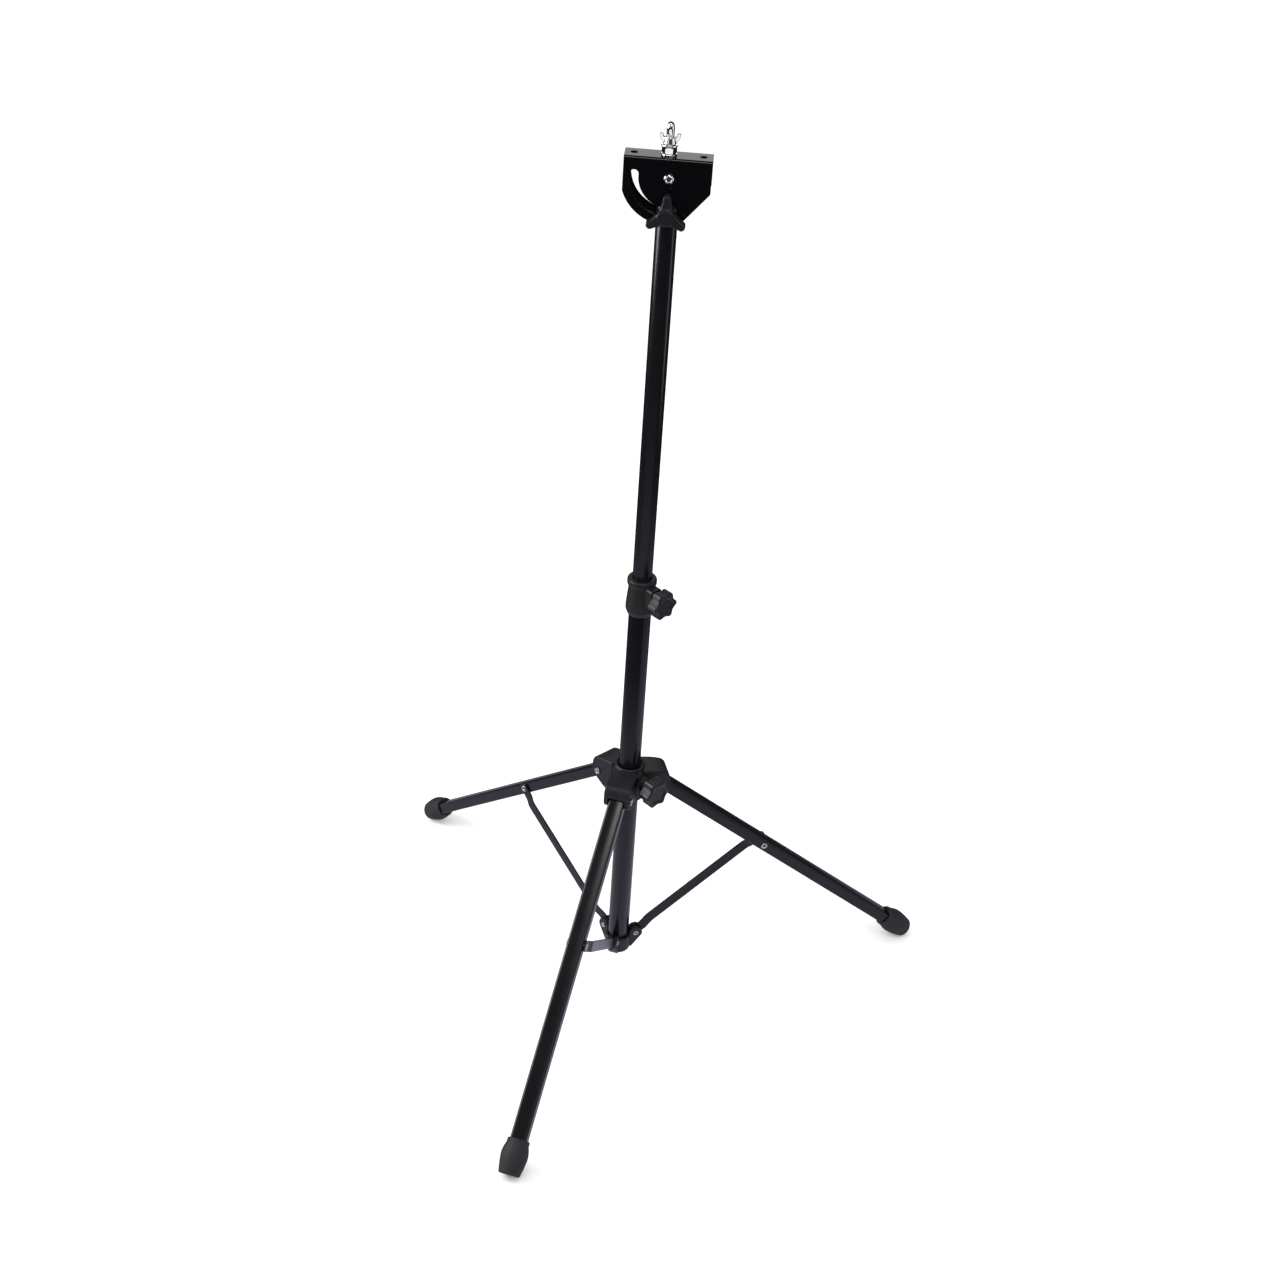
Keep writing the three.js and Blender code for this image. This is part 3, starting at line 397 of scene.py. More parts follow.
class Finish(Nodes):
    """A procedural material built from the pieces' own millimetre coordinates."""

    def __init__(self, name):
        self.material = bpy.data.materials.new(name)
        self.material.use_nodes = True
        super().__init__(self.material.node_tree)
        self.surface = self.tree.nodes["Principled BSDF"]
        self.local = self.add("ShaderNodeAttribute", attribute_name="local").outputs["Vector"]

    def noise(self, size, stretch=(1, 1, 1), detail=3.0, seed=0.0):
        """Noise whose features are about size millimetres, longer where stretch is above 1."""
        scaled = self.add("ShaderNodeMapping", {"Vector": self.local})
        scaled.inputs["Scale"].default_value = [1 / (size * s) for s in stretch]
        scaled.inputs["Location"].default_value = (seed, seed * 0.7, seed * 1.3)
        return self.add("ShaderNodeTexNoise", {
            "Vector": scaled.outputs["Vector"], "Scale": 1.0, "Detail": detail,
            "Roughness": 0.55}).outputs["Fac"]

    def ramp(self, value, low, high):
        """0 at low and under, 1 at high and over."""
        return self.add("ShaderNodeMapRange", {
            "Value": value, "From Min": low, "From Max": high}, clamp=True).outputs["Result"]

    def calc(self, operation, a, b):
        return self.add("ShaderNodeMath", {0: a, 1: b}, operation=operation).outputs[0]

    def mix(self, factor, a, b):
        node = self.add("ShaderNodeMix", {"Factor": factor}, data_type="RGBA")
        self.feed(node.inputs["A"], a)
        self.feed(node.inputs["B"], b)
        return node.outputs["Result"]

    def worn_edges(self, width=0.5, patch=4.0):
        """1 along edges, broken up by noise: where a bevelled normal leaves the true one."""
        true = self.add("ShaderNodeNewGeometry").outputs["Normal"]
        soft = self.add("ShaderNodeBevel", {"Radius": width * MM}, samples=4).outputs["Normal"]
        agree = self.add("ShaderNodeVectorMath", {0: true, 1: soft}, operation="DOT_PRODUCT")
        turn = self.calc("SUBTRACT", 1.0, agree.outputs["Value"])
        broken = self.ramp(self.noise(patch, detail=5.0, seed=9.0), 0.46, 0.62)
        return self.calc("MULTIPLY", self.ramp(turn, 0.03, 0.16), broken)

    def bump(self, layers):
        """Stacks bumps; each layer is a height field and its depth in millimetres."""
        normal = None
        for height, depth in layers:
            node = self.add("ShaderNodeBump", {
                "Height": height, "Strength": 1.0, "Distance": depth * MM})
            if normal is not None:
                self.feed(node.inputs["Normal"], normal)
            normal = node.outputs["Normal"]
        self.feed(self.surface.inputs["Normal"], normal)

    def finished(self, **values):
        for key, value in values.items():
            self.feed(self.surface.inputs[key.replace("_", " ")], value)
        return self.material


def grey(value, tint=(1.0, 1.0, 1.0)):
    return tuple(value * t for t in tint) + (1.0,)


def painted(name, tone, gloss, lengthwise, orange_peel=0.0012):
    """Powder coat: orange peel, faint cloudiness, fine rubs along the piece, paler worn edges."""
    f = Finish(name)
    stretch = (30, 1, 1) if lengthwise == "X" else (1, 1, 30)
    rubs = f.ramp(f.noise(0.7, stretch, 4.0, 3.0), 0.62, 0.78)
    cloud = f.ramp(f.noise(30.0, detail=3.0, seed=1.0), 0.3, 0.7)
    worn = f.worn_edges()
    base = f.mix(cloud, grey(tone, (0.98, 0.94, 1.3)), grey(tone * 1.25, (1.0, 0.95, 1.3)))
    base = f.mix(f.calc("MULTIPLY", rubs, 0.25), base, grey(tone * 3.0))
    base = f.mix(f.calc("MULTIPLY", worn, 0.35), base, grey(0.11, (1.0, 0.98, 0.96)))
    rough = f.calc("ADD", gloss, f.calc("MULTIPLY", cloud, 0.03))
    rough = f.calc("ADD", rough, f.calc("MULTIPLY", rubs, 0.08))
    f.bump([(f.noise(1.1, detail=1.0, seed=5.0), orange_peel), (rubs, 0.0006)])
    return f.finished(Base_Color=base, Roughness=rough, Specular_IOR_Level=0.5)


def plastic(name, tone, gloss, grain, depth):
    """Moulded plastic: spark-eroded grain, flow marks and slightly polished edges."""
    f = Finish(name)
    flow = f.ramp(f.noise(14.0, (1, 1, 2), 3.0, 2.0), 0.32, 0.7)
    worn = f.worn_edges(0.7, 3.0)
    pits = f.add("ShaderNodeTexVoronoi", {"Vector": f.local, "Scale": 1 / grain},
                 feature="SMOOTH_F1").outputs["Distance"]
    base = f.mix(flow, grey(tone, (0.98, 0.95, 1.22)), grey(tone * 1.3, (1.0, 0.96, 1.18)))
    base = f.mix(f.calc("MULTIPLY", worn, 0.3), base, grey(0.05))
    rough = f.calc("ADD", gloss, f.calc("MULTIPLY", flow, 0.08))
    rough = f.calc("SUBTRACT", rough, f.calc("MULTIPLY", worn, 0.1))
    f.bump([(f.noise(2.6, detail=2.0, seed=4.0), 0.006), (pits, depth)])
    return f.finished(Base_Color=base, Roughness=rough, Specular_IOR_Level=0.5)


def rubber(name, tone):
    """Rubber: dull, finely pebbled, dusty where it meets the floor."""
    f = Finish(name)
    position = f.add("ShaderNodeNewGeometry").outputs["Position"]
    height = f.add("ShaderNodeSeparateXYZ", {"Vector": position}).outputs["Z"]
    blotch = f.ramp(f.noise(6.0, detail=5.0, seed=6.0), 0.3, 0.7)
    dust = f.calc("MULTIPLY", f.ramp(height, 0.007, 0.0005), blotch)
    base = f.mix(blotch, grey(tone, (0.92, 0.95, 1.18)), grey(tone * 1.3, (0.95, 0.97, 1.1)))
    base = f.mix(f.calc("MULTIPLY", dust, 0.3), base, grey(0.16, (1.0, 0.96, 0.9)))
    rough = f.calc("ADD", 0.55, f.calc("MULTIPLY", blotch, 0.16))
    f.bump([(f.noise(0.5, detail=3.0, seed=2.0), 0.012), (f.noise(5.0, seed=8.0), 0.03)])
    return f.finished(Base_Color=base, Roughness=rough, Specular_IOR_Level=0.45)


def plated(name, colour, gloss, tarnish, brushed):
    """Plated metal: fine turning marks, smears, and darker tarnish in patches."""
    f = Finish(name)
    smear = f.ramp(f.noise(3.0, (1, 1, 3), 4.0, 1.0), 0.38, 0.66)
    marks = f.noise(0.15, (30, 30, 1), 2.0, 7.0)
    spots = f.ramp(f.noise(1.1, detail=5.0, seed=3.0), 0.60, 0.76)
    base = f.mix(smear, colour, tuple(c * 0.9 for c in colour[:3]) + (1.0,))
    base = f.mix(f.calc("MULTIPLY", spots, 0.3), base, tarnish)
    rough = f.calc("ADD", gloss, f.calc("MULTIPLY", smear, gloss * 0.6))
    rough = f.calc("ADD", rough, f.calc("MULTIPLY", spots, 0.1))
    f.bump([(marks, brushed)])
    return f.finished(Base_Color=base, Roughness=rough, Metallic=1.0)


ZINC, ZINC_DULL = (0.72, 0.69, 0.62, 1), (0.34, 0.30, 0.22, 1)
CHROME, CHROME_DULL = (0.88, 0.88, 0.90, 1), (0.5, 0.48, 0.45, 1)
BRASS, BRASS_DULL = (0.70, 0.50, 0.21, 1), (0.25, 0.15, 0.07, 1)
FINISHES = {
    "tube_paint": painted("tube_paint", 0.0036, 0.20, "Z"),
    "leg_paint": painted("leg_paint", 0.0040, 0.20, "X"),
    "bracket_paint": painted("bracket_paint", 0.0016, 0.10, "X", 0.0008),
    "moulded_plastic": plastic("moulded_plastic", 0.0085, 0.40, 0.35, 0.006),
    "knob_plastic": plastic("knob_plastic", 0.0085, 0.27, 0.5, 0.003),
    "foot_rubber": rubber("foot_rubber", 0.014),
    "zinc_steel": plated("zinc_steel", ZINC, 0.20, ZINC_DULL, 0.003),
    "chrome_steel": plated("chrome_steel", CHROME, 0.06, CHROME_DULL, 0.0006),
    "brass_insert": plated("brass_insert", BRASS, 0.24, BRASS_DULL, 0.003),
}
METAL = ("zinc_steel", "chrome_steel", "brass_insert")
metal_group = bpy.data.collections.new("metal")


# ---------- setting pieces down ----------
def shade(mesh, limit):
    """Smooth shading with edges sharper than the limit kept crisp."""
    work = bmesh.new()
    work.from_mesh(mesh)
    for face in work.faces:
        face.smooth = True
    for edge in work.edges:
        if len(edge.link_faces) == 2 and edge.calc_face_angle(0) > math.radians(limit):
            edge.smooth = False
    work.to_mesh(mesh)
    work.free()


def add(node, mesh, place, finish=None, limit=32, weighted=False):
    """Puts a finished form where its CAD node is, riding on the node's body."""
    shade(mesh, limit)
    points = np.array([v.co for v in mesh.vertices], np.float32)
    local = mesh.attributes.new("local", "FLOAT_VECTOR", "POINT")
    local.data.foreach_set("vector", points.ravel())
    mesh.transform(place)
    mesh.name = node + "_look"
    piece = linked(node + "_look", mesh)
    if SLOT_OF[node] in METAL:
        metal_group.objects.link(piece)
    mesh.materials.clear()
    mesh.materials.append(FINISHES[finish or SLOT_OF[node]])
    if weighted:
        normals = piece.modifiers.new("normals", "WEIGHTED_NORMAL")
        normals.keep_sharp = True
    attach(piece, BODY_OF[node])
    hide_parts(node)
    return piece


# ---------- screws, nuts and washers ----------
def threaded(radius, pitch, profile, low, high):
    """A turned rod of (radius, z) profile points whose thread runs from low to high."""
    depth = 0.58 * pitch
    heights = np.arange(low, high, pitch / 10)
    ends = np.array(profile)
    levels = [(float(r), float(z)) for r, z in profile if z < low]
    levels += [(float(np.interp(z, ends[:, 1], ends[:, 0])), float(z)) for z in heights]
    levels += [(float(r), float(z)) for r, z in profile if z >= high]

    def shape(point, angle):
        r, z = point
        if not low <= z < high:
            return r
        fade = min(1.0, (z - low) / pitch, (high - z) / pitch)
        phase = (z / pitch - angle / (2 * math.pi)) % 1
        crest = min(1.0, max(0.0, (1 - abs(2 * phase - 1) - 0.12) / 0.72))
        return min(r, radius - depth * fade * (1 - crest))

    return turned(levels, 48, shape)


def hex_block(flats, low, high):
    """A hexagon along Z with both ends chamfered by a cone."""
    corner = flats / math.sqrt(3) + 0.1
    half = flats / 2 * 0.97
    chamfer = (corner - half) * 0.62
    cone = turned([(0, low), (half, low), (corner, low + chamfer), (corner, high - chamfer),
                   (half, high), (0, high)])
    return boolean("INTERSECT", plate(hexagon(flats), low, high, 0.25), cone)


def hex_nut(flats, bore, low, high):
    sink = 0.7
    hole = turned([(0, low - 1), (bore + sink + 1, low - 1), (bore, low + sink),
                   (bore, high - sink), (bore + sink + 1, high + 1), (0, high + 1)])
    return cut(hex_block(flats, low, high), hole)


def washer(bore, outer, low, high):
    """A stamped washer: one edge rolled over, the other crisp."""
    roll, nip = 0.35, 0.12
    return turned([
        (bore + nip, low), (outer - nip, low), (outer, low + nip), (outer, high - roll),
        (outer - roll * 0.3, high - roll * 0.3), (outer - roll, high), (bore + roll, high),
        (bore + roll * 0.3, high - roll * 0.3), (bore, high - roll), (bore, low + nip)])


def rivet(pin, head, thick, low, high):
    """Tubular rivet along Z with rolled ends; low and high are under its heads."""
    hole = pin * 0.6
    curl = [(hole, 0.2), (hole + 0.35, 0.75), (hole + 0.8, 1.0), (head - 1.1, 1.0),
            (head - 0.4, 0.8), (head - 0.08, 0.45), (head, 0.2), (head - 0.1, 0.0)]
    top = [(r, high + thick * z) for r, z in curl] + [(pin, high)]
    bottom = [(r, low - thick * z) for r, z in curl] + [(pin, low)]
    return turned(top + bottom[::-1], 64)


# ---------- mast ----------
def tube(outer, low, high):
    inner, lip = outer - WALL, 0.35
    return turned([(inner, low + lip), (inner + lip, low), (outer - lip, low),
                   (outer - lip * 0.3, low + lip * 0.3), (outer, low + lip), (outer, high - lip),
                   (outer - lip * 0.3, high - lip * 0.3), (outer - lip, high),
                   (inner + lip, high), (inner, high - lip)], FINE)


KNOB_BEARING = bearing_of("hub_screw")
HUB_SCREW_Z = centre("hub_screw").z / MM
COLLAR_SCREW_Z = centre("height_screw").z / MM
PAD_R, SCREW_HOLE_R = 4.0, 3.5
on_mast = placed(MAST)
on_knobs = Matrix.Rotation(KNOB_BEARING, 4, "Z")


def radial(tool, bearing):
    return moved(tool, Matrix.Rotation(bearing, 4, "Z"))


lower_low, lower_high = span("lower_tube")
lower = cut(tube(LOWER_R, lower_low, lower_high),
            moved(rod_x(PAD_R + 0.5, 8, 20, COLLAR_SCREW_Z), on_knobs))
add("lower_tube", lower, on_mast)

leg_bearings = {letter: bearing_of("hub_rivet_" + letter) for letter in LETTERS}
fork_r = (centre("base_rivet_a") - MAST).xy.length / MM
fork_z = centre("base_rivet_a").z / MM
cup_low, _ = span("base_collar")
cup_high = cup_low + CUP_HEIGHT


def fork_outline():
    ear = arc(fork_r, fork_z, EAR_R, -42, 90, 22)
    return [(FORK_IN, cup_low + 1), (16.5, cup_low + 1)] + ear + [
        (16, fork_z + EAR_R - 1.5), (FORK_IN, fork_z + 3)]


bore = LOWER_R + GAP
cup = turned([(0, cup_low), (CUP_R - 2, cup_low), (CUP_R - 0.6, cup_low + 0.6),
              (CUP_R, cup_low + 2), (CUP_R, cup_high - 1), (CUP_R - 1, cup_high),
              (0, cup_high)])
forks, slots = [], []
for turn in leg_bearings.values():
    forks.append(radial(side_plate(fork_outline(), -FORK_HALF, FORK_HALF, 0.8), turn))
    slot_box = side_plate(
        rounded([(FORK_SLOT_IN, FORK_SLOT_LOW, 1), (40, FORK_SLOT_LOW, 0), (40, 70, 0),
                 (FORK_SLOT_IN, 70, 0)]), -FORK_SLOT, FORK_SLOT)
    slots += [radial(slot_box, turn), radial(rod_y(2.35, fork_r, fork_z), turn)]
cup = cut(joined(cup, *forks), *slots, rod(bore, cup_low + 2, 70, AROUND))
add("base_collar", moulded(cup, 0.32), on_mast)

# ---------- height collar ----------
collar_low, collar_high = span("height_collar")
shoulder = lower_high + GAP
high_bore = UPPER_R + GAP
sleeve = turned([(0, collar_low), (14, collar_low), (14.6, collar_low + 0.8),
                 (16.8, collar_low + 6.5), (16.8, collar_low + 13), (14.6, collar_high - 9.5),
                 (15.8, collar_high - 8.2), (16.6, collar_high - 6.6),
                 (16.6, collar_high - 2.4), (16.1, collar_high - 0.9), (15, collar_high),
                 (0, collar_high)])
boss = moved(swept(box_outline(7.6, 13, 3), 10, 24, 0.8), on_knobs @ shift(z=COLLAR_SCREW_Z))
rib = moved(swept(box_outline(1.1, 19, 1), 10, 17.6, 0.4),
            Matrix.Rotation(KNOB_BEARING + math.pi, 4, "Z") @ shift(z=collar_low + 22))
collar = cut(
    joined(sleeve, boss, rib),
    rod(bore, collar_low - 1, shoulder, AROUND),
    rod(high_bore, shoulder - 1, collar_high + 1, AROUND),
    moved(rod_x(SCREW_HOLE_R, 5, 30, COLLAR_SCREW_Z), on_knobs),
    moved(rod_x(PAD_R + 0.5, 5, 16, COLLAR_SCREW_Z), on_knobs),
    moved(swept(hexagon(M6_FLATS + 2 * GAP), 19, 26), on_knobs @ shift(z=COLLAR_SCREW_Z)),
)
add("height_collar", moulded(collar, 0.32), on_mast)

# ---------- hub ----------
hub_low, hub_high = span("hub")
hood_z = centre("hub_rivet_a").z / MM


def hood_outline(trim=0.0):
    tip = HOOD_TIP - trim
    top = hub_high - 3.6 - trim
    outline = [(HUB_BORE + 0.5, hub_low + trim), (25, hub_low + trim)]
    outline += arc(HUB_PIVOT_R, hood_z, tip, -58, 0, 12)
    outline += bow((HUB_PIVOT_R + tip, hood_z + 7), (HUB_PIVOT_R + tip - 0.6, hub_high - 10.5),
                   (40, hub_high - 8 - trim))
    outline += bow((40, hub_high - 8 - trim), (30, hub_high - 4.2 - trim),
                   (HUB_BORE + 0.5, top))[1:]
    return outline


def pocket_outline():
    room, lift = LEG_END_R + 1.6, 4.8
    turn = math.degrees(math.asin(lift / room))
    return [(HUB_PIVOT_R - room, hub_low - 10), (80, hub_low - 10), (80, hood_z + lift)] + arc(
        HUB_PIVOT_R, hood_z, room, turn, 180, 24)


wide = HUB_SLEEVE + 1.4
body = turned([(0, hub_low), (wide, hub_low), (wide, hub_high - 7), (HUB_SLEEVE, hub_high - 5),
               (HUB_SLEEVE, hub_high - 1.2), (HUB_SLEEVE - 1.2, hub_high), (0, hub_high)])
extra, away = [], []
for turn in leg_bearings.values():
    extra.append(radial(side_plate(hood_outline(), -HOOD_HALF, HOOD_HALF, 1.3), turn))
    away.append(radial(side_plate(pocket_outline(), -HOOD_SLOT, HOOD_SLOT), turn))
    away.append(radial(rod_y(M6_R + GAP, HUB_PIVOT_R, hood_z), turn))
    for side in (-1, 1):
        ends = sorted((side * (HOOD_HALF - 0.7), side * (HOOD_HALF + 3)))
        away.append(radial(side_plate(hood_outline(2.2), *ends), turn))
extra.append(moved(rod_x(9.4, 12, 28.5, HUB_SCREW_Z), on_knobs))
body = cut(
    joined(body, *extra), *away,
    rod(HUB_BORE, hub_low - 1, hub_high + 1, AROUND),
    rod(HUB_BORE + 1.7, hub_high - 2.2, hub_high + 1, AROUND),
    moved(rod_x(SCREW_HOLE_R, 5, 30, HUB_SCREW_Z), on_knobs),
    moved(rod_x(PAD_R + 0.5, 5, 17.5, HUB_SCREW_Z), on_knobs),
    moved(swept(hexagon(M6_FLATS + 2 * GAP), 23, 32), on_knobs @ shift(z=HUB_SCREW_Z)),
)
add("hub", moulded(body, 0.42), on_mast)


# ---------- lobed knobs and their screws ----------
def lobed_knob(lobe_r, stem, grip, end, shank_end):
    """Knob along Z: a ribbed, lobed grip with a dished face, on a round stem. A profile point's
    third value is 0 where the knob is round, 1 where it is lobed and 2 where it is ribbed too."""
    stem_r, dish, hole = lobe_r * 0.55, lobe_r * 0.52, M6_R + GAP
    profile = [
        (0, end - 1.2, 0), (dish, end - 1.2, 0), (dish + 0.5, end - 0.5, 0),
        (dish + 0.9, end - 0.1, 0), (lobe_r - 2.4, end, 1), (lobe_r - 1.1, end - 0.25, 1),
        (lobe_r - 0.3, end - 0.9, 1), (lobe_r, end - 1.9, 1), (lobe_r, end - 2.6, 2),
        (lobe_r, grip + 2.6, 2), (lobe_r, grip + 1.9, 1), (lobe_r - 0.4, grip + 0.8, 1),
        (lobe_r - 1.4, grip + 0.1, 1), (lobe_r - 2.4, grip, 1), (stem_r + 0.8, grip, 0),
        (stem_r, grip - 0.6, 0), (stem_r, stem + 0.5, 0), (stem_r - 0.5, stem, 0),
        (hole + 0.4, stem, 0), (hole, stem + 0.4, 0), (hole, shank_end, 0), (0, shank_end, 0)]

    def shape(point, angle):
        r, _, part = point
        lobe = ((1 + math.cos(KNOB_LOBES * angle)) / 2) ** 1.4
        ribs = RIB_DEPTH * (1 - math.cos(KNOB_RIBS * angle)) / 2 if part == 2 else 0.0
        return r - min(part, 1) * KNOB_FLUTE * (1 - lobe) - ribs

    return turned(profile, 480, shape)


def screw_set(prefix, z, pad, nut, lobe_r, stem, grip, end):
    """A clamp's pad, nut, screw and knob; the last six but lobe_r are distances from the axis."""
    spot = placed(MAST + Vector((0, 0, z * MM)), KNOB_BEARING) @ ALONG_X
    shank, shank_end = pad + 2 + GAP, grip + 7
    button = turned([(0, pad), (PAD_R - 0.5, pad), (PAD_R, pad + 0.5), (PAD_R, pad + 1.6),
                     (PAD_R - 0.4, pad + 2), (2.3, pad + 2), (2.0, pad + 1.7), (0, pad + 1.7)])
    add(prefix + "_pad", button, spot)
    add(prefix + "_nut", hex_nut(M6_FLATS, M6_R + NUT_GAP, nut, nut + 5), spot)
    bar = [(0, shank), (M6_R - 0.6, shank), (M6_R, shank + 0.6), (M6_R, shank_end - 0.3),
           (M6_R - 0.3, shank_end), (0, shank_end)]
    add(prefix + "_screw", threaded(M6_R, M6_PITCH, bar, shank + 0.1, grip - 1), spot)
    add(prefix + "_knob", lobed_knob(lobe_r, stem, grip, end, shank_end + GAP), spot,
        "knob_plastic", limit=50)


screw_set("height", COLLAR_SCREW_Z, pad=UPPER_R + GAP, nut=19.3, lobe_r=16.8, stem=24.6, grip=27,
          end=41)
screw_set("hub", HUB_SCREW_Z, pad=LOWER_R + GAP, nut=23.3, lobe_r=18, stem=29.5, grip=36, end=52)


# ---------- legs, feet, braces ----------
def crowned(half_w, half_h, corner):
    """Left shoulder, slightly crowned back and right shoulder of the channel, as corners."""
    across = np.linspace(CROWN_PART, -CROWN_PART, 9)
    crown = [(half_w * x, half_h - LEG_CROWN * x * x, 0) for x in across]
    return [(half_w, half_h - LEG_CROWN, corner)] + crown + [(-half_w, half_h - LEG_CROWN, corner)]


def leg_outline():
    """The channel's wall as one outline: over the outside, back round the inside."""
    w, h, t = LEG_W / 2, LEG_H / 2, LEG_WALL
    lip = w - LEG_LIP
    low = LEG_CORNER
    return rounded(
        [(lip, -h, 0.4), (w, -h, low)] + crowned(w, h, LEG_SHOULDER)
        + [(-w, -h, low), (-lip, -h, 0.4), (-lip, -h + t, 0.4), (-w + t, -h + t, low - t)]
        + crowned(w - t, h - t, LEG_SHOULDER - t)[::-1]
        + [(w - t, -h + t, low - t), (lip, -h + t, 0.4)], 10)


def channel(rivet_at):
    out = LEG_LENGTH - FOOT_FLOOR - GAP
    bar = swept(leg_outline(), -LEG_END_R - 2, out, 0.2)
    side = arc(0, 0, LEG_END_R, 90, 270, 40) + [(out + 5, -LEG_END_R), (out + 5, LEG_END_R)]
    bar = boolean("INTERSECT", bar, side_plate(side, -LEG_W, LEG_W))
    return cut(bar, rod_y(M6_R + 0.6), rod_y(2.8, rivet_at))


def boot(slope, hinge_z):
    """Barrel-shaped rubber boot about X with a rolled rim, cut flat where it meets the floor."""
    start, end = LEG_LENGTH - FOOT_LENGTH, LEG_LENGTH
    shape = [(0, start), (11.4, start), (12.3, start + 0.4), (12.8, start + 1.4),
             (12.9, start + 3.2), (12.7, start + 4.6), (13.0, start + 6), (14.2, start + 9.5),
             (15.1, start + 13.5), (15.5, start + 17), (15.4, start + 21), (14.9, start + 25),
             (14.1, start + 30), (13.0, start + 35.5), (12.4, start + 38.6), (11.9, end - 0.5),
             (11, end), (0, end)]
    barrel = moved(turned(shape, FINE), ALONG_X)
    pocket = swept(box_outline(LEG_W / 2 + GAP, LEG_H / 2 + GAP, LEG_CORNER), start - 2,
                   end - FOOT_FLOOR)
    floor = side_plate([(200, -60), (600, -60), (600, 0), (200, 0)], -60, 60)
    moved(floor, Matrix.Rotation(-slope, 4, "Y") @ shift(-HUB_PIVOT_R, 0, -hinge_z))
    return moulded(cut(barrel, pocket, floor), 0.38, 3)


def brace_bar(length):
    """Flat bar with rounded ends, a hole in each, and a joggle near each end."""
    end = BRACE_W / 2
    outline = arc(0, 0, end, 90, 270, 28) + arc(length, 0, end, -90, 90, 28)
    holes = [circle(0, 0, 2.45), circle(length, 0, 3.2)]
    bar = side_plate(outline, -BRACE_T / 2, BRACE_T / 2, 0.45, holes)
    run = [-end - 1, 12, 23, length - 22, length - 13, length + end + 1]
    offset = [0, 0, 4, 13.5, BRACE_SIDE, BRACE_SIDE]

    def joggle(points):
        x = points[:, 0]
        eased = [np.interp(x + step, run, offset) for step in np.linspace(-2.4, 2.4, 9)]
        points[:, 1] += np.mean(eased, axis=0)
        return points

    cuts = [(0, x) for spot in run[1:-1] for x in np.linspace(spot - 2.6, spot + 2.6, 9)]
    return bent(bar, cuts, joggle)


for letter, turn in leg_bearings.items():
    hub_pin, brace_pin, base_pin = (name + letter for name in
                                    ("hub_rivet_", "brace_rivet_", "base_rivet_"))
    out, up = reach(hub_pin, brace_pin, turn)
    slope = math.atan2(-up, out)
    rivet_at = math.hypot(out, up)
    hinge_z = centre(hub_pin).z / MM
    on_leg = placed(centre(hub_pin), turn, slope)
    add("leg_" + letter, channel(rivet_at), on_leg, "leg_paint", weighted=True)
    add("foot_" + letter, boot(slope, hinge_z), on_leg)
    near, far = -LEG_W / 2 - GAP, BRACE_SIDE + BRACE_T / 2 + GAP
    add(brace_pin, rivet(2.5, 4.2, 1, near, far), on_leg @ shift(rivet_at) @ ALONG_Y)
    cheek = HOOD_HALF + GAP
    add(hub_pin, rivet(3, 4.4, 1.1, -cheek, cheek), placed(centre(hub_pin), turn) @ ALONG_Y)
    fork = FORK_HALF + GAP
    add(base_pin, rivet(2, 3.4, 0.8, -fork, fork), placed(centre(base_pin), turn) @ ALONG_Y)
    out, up = reach(base_pin, brace_pin, turn)
    on_brace = placed(centre(base_pin), turn, -math.atan2(up, out))
    add("brace_" + letter, brace_bar(math.hypot(out, up)), on_brace, "leg_paint", weighted=True)

# ---------- upper mast ----------
pivot_z, clamp_z = PIVOT.z / MM, CLAMP.z / MM
upper_low, upper_high = span("upper_tube")
upper = cut(tube(UPPER_R, upper_low, upper_high),
            rod_y(M8_R + GAP, z=clamp_z), rod_y(M6_R + GAP, z=pivot_z))
add("upper_tube", upper, on_mast)

spigot = UPPER_R - WALL - GAP
dome = boolean("INTERSECT", rod(UPPER_R, upper_high + GAP, pivot_z + 14, AROUND),
               rod_y(12.4, z=pivot_z))
plug = joined(dome, rod(spigot, pivot_z - 12, upper_high + 1, AROUND))
add("tube_cap", moulded(cut(plug, rod_y(M6_R + GAP, z=pivot_z)), 0.3), on_mast)

skirt, seat = LOWER_R - WALL - GAP, upper_low - GAP
bush = turned([(6.5, seat - 14), (skirt - 1, seat - 14), (skirt - 0.2, seat - 13.6),
               (skirt, seat - 12.8), (skirt, seat - 9.5), (skirt - 0.5, seat - 9.2),
               (skirt - 0.5, seat - 7.2), (skirt, seat - 6.9), (skirt, seat - 0.4),
               (skirt - 0.4, seat), (spigot, seat), (spigot, seat + 15.6),
               (spigot - 0.4, seat + 16.4), (spigot - 1.2, seat + 17), (6.3, seat + 17),
               (6, seat + 16.7), (6, seat - 13.5)])
add("slide_bush", bush, on_mast)

# ---------- tilt clamp ----------
on_clamp = placed(CLAMP) @ ALONG_Y
face = FOLD_HALF + GAP
back_washer = face + 1.6
add("clamp_washer_rear", washer(M8_R + GAP, 8.5, face, back_washer), on_clamp)
add("clamp_washer_front", washer(M8_R + GAP, 8.5, -back_washer, -face), on_clamp)
head_at = back_washer + GAP
knob_at = -head_at
bolt = [(0, knob_at - 11), (M8_R - 0.8, knob_at - 11), (M8_R, knob_at - 10.2),
        (M8_R, head_at), (7.7, head_at), (8, head_at + 0.3), (8, head_at + 1),
        (7.6, head_at + 1.9), (6.8, head_at + 2.9), (5.7, head_at + 3.7),
        (4.4, head_at + 4.2), (2.3, head_at + 4.6), (0, head_at + 4.8)]
add("clamp_bolt", threaded(M8_R, M8_PITCH, bolt, knob_at - 10.9, knob_at + 1), on_clamp)


def knurled(point, angle):
    return point[0] - (0.18 * (1 - math.cos(36 * angle)) if point[0] > 5.5 else 0.0)


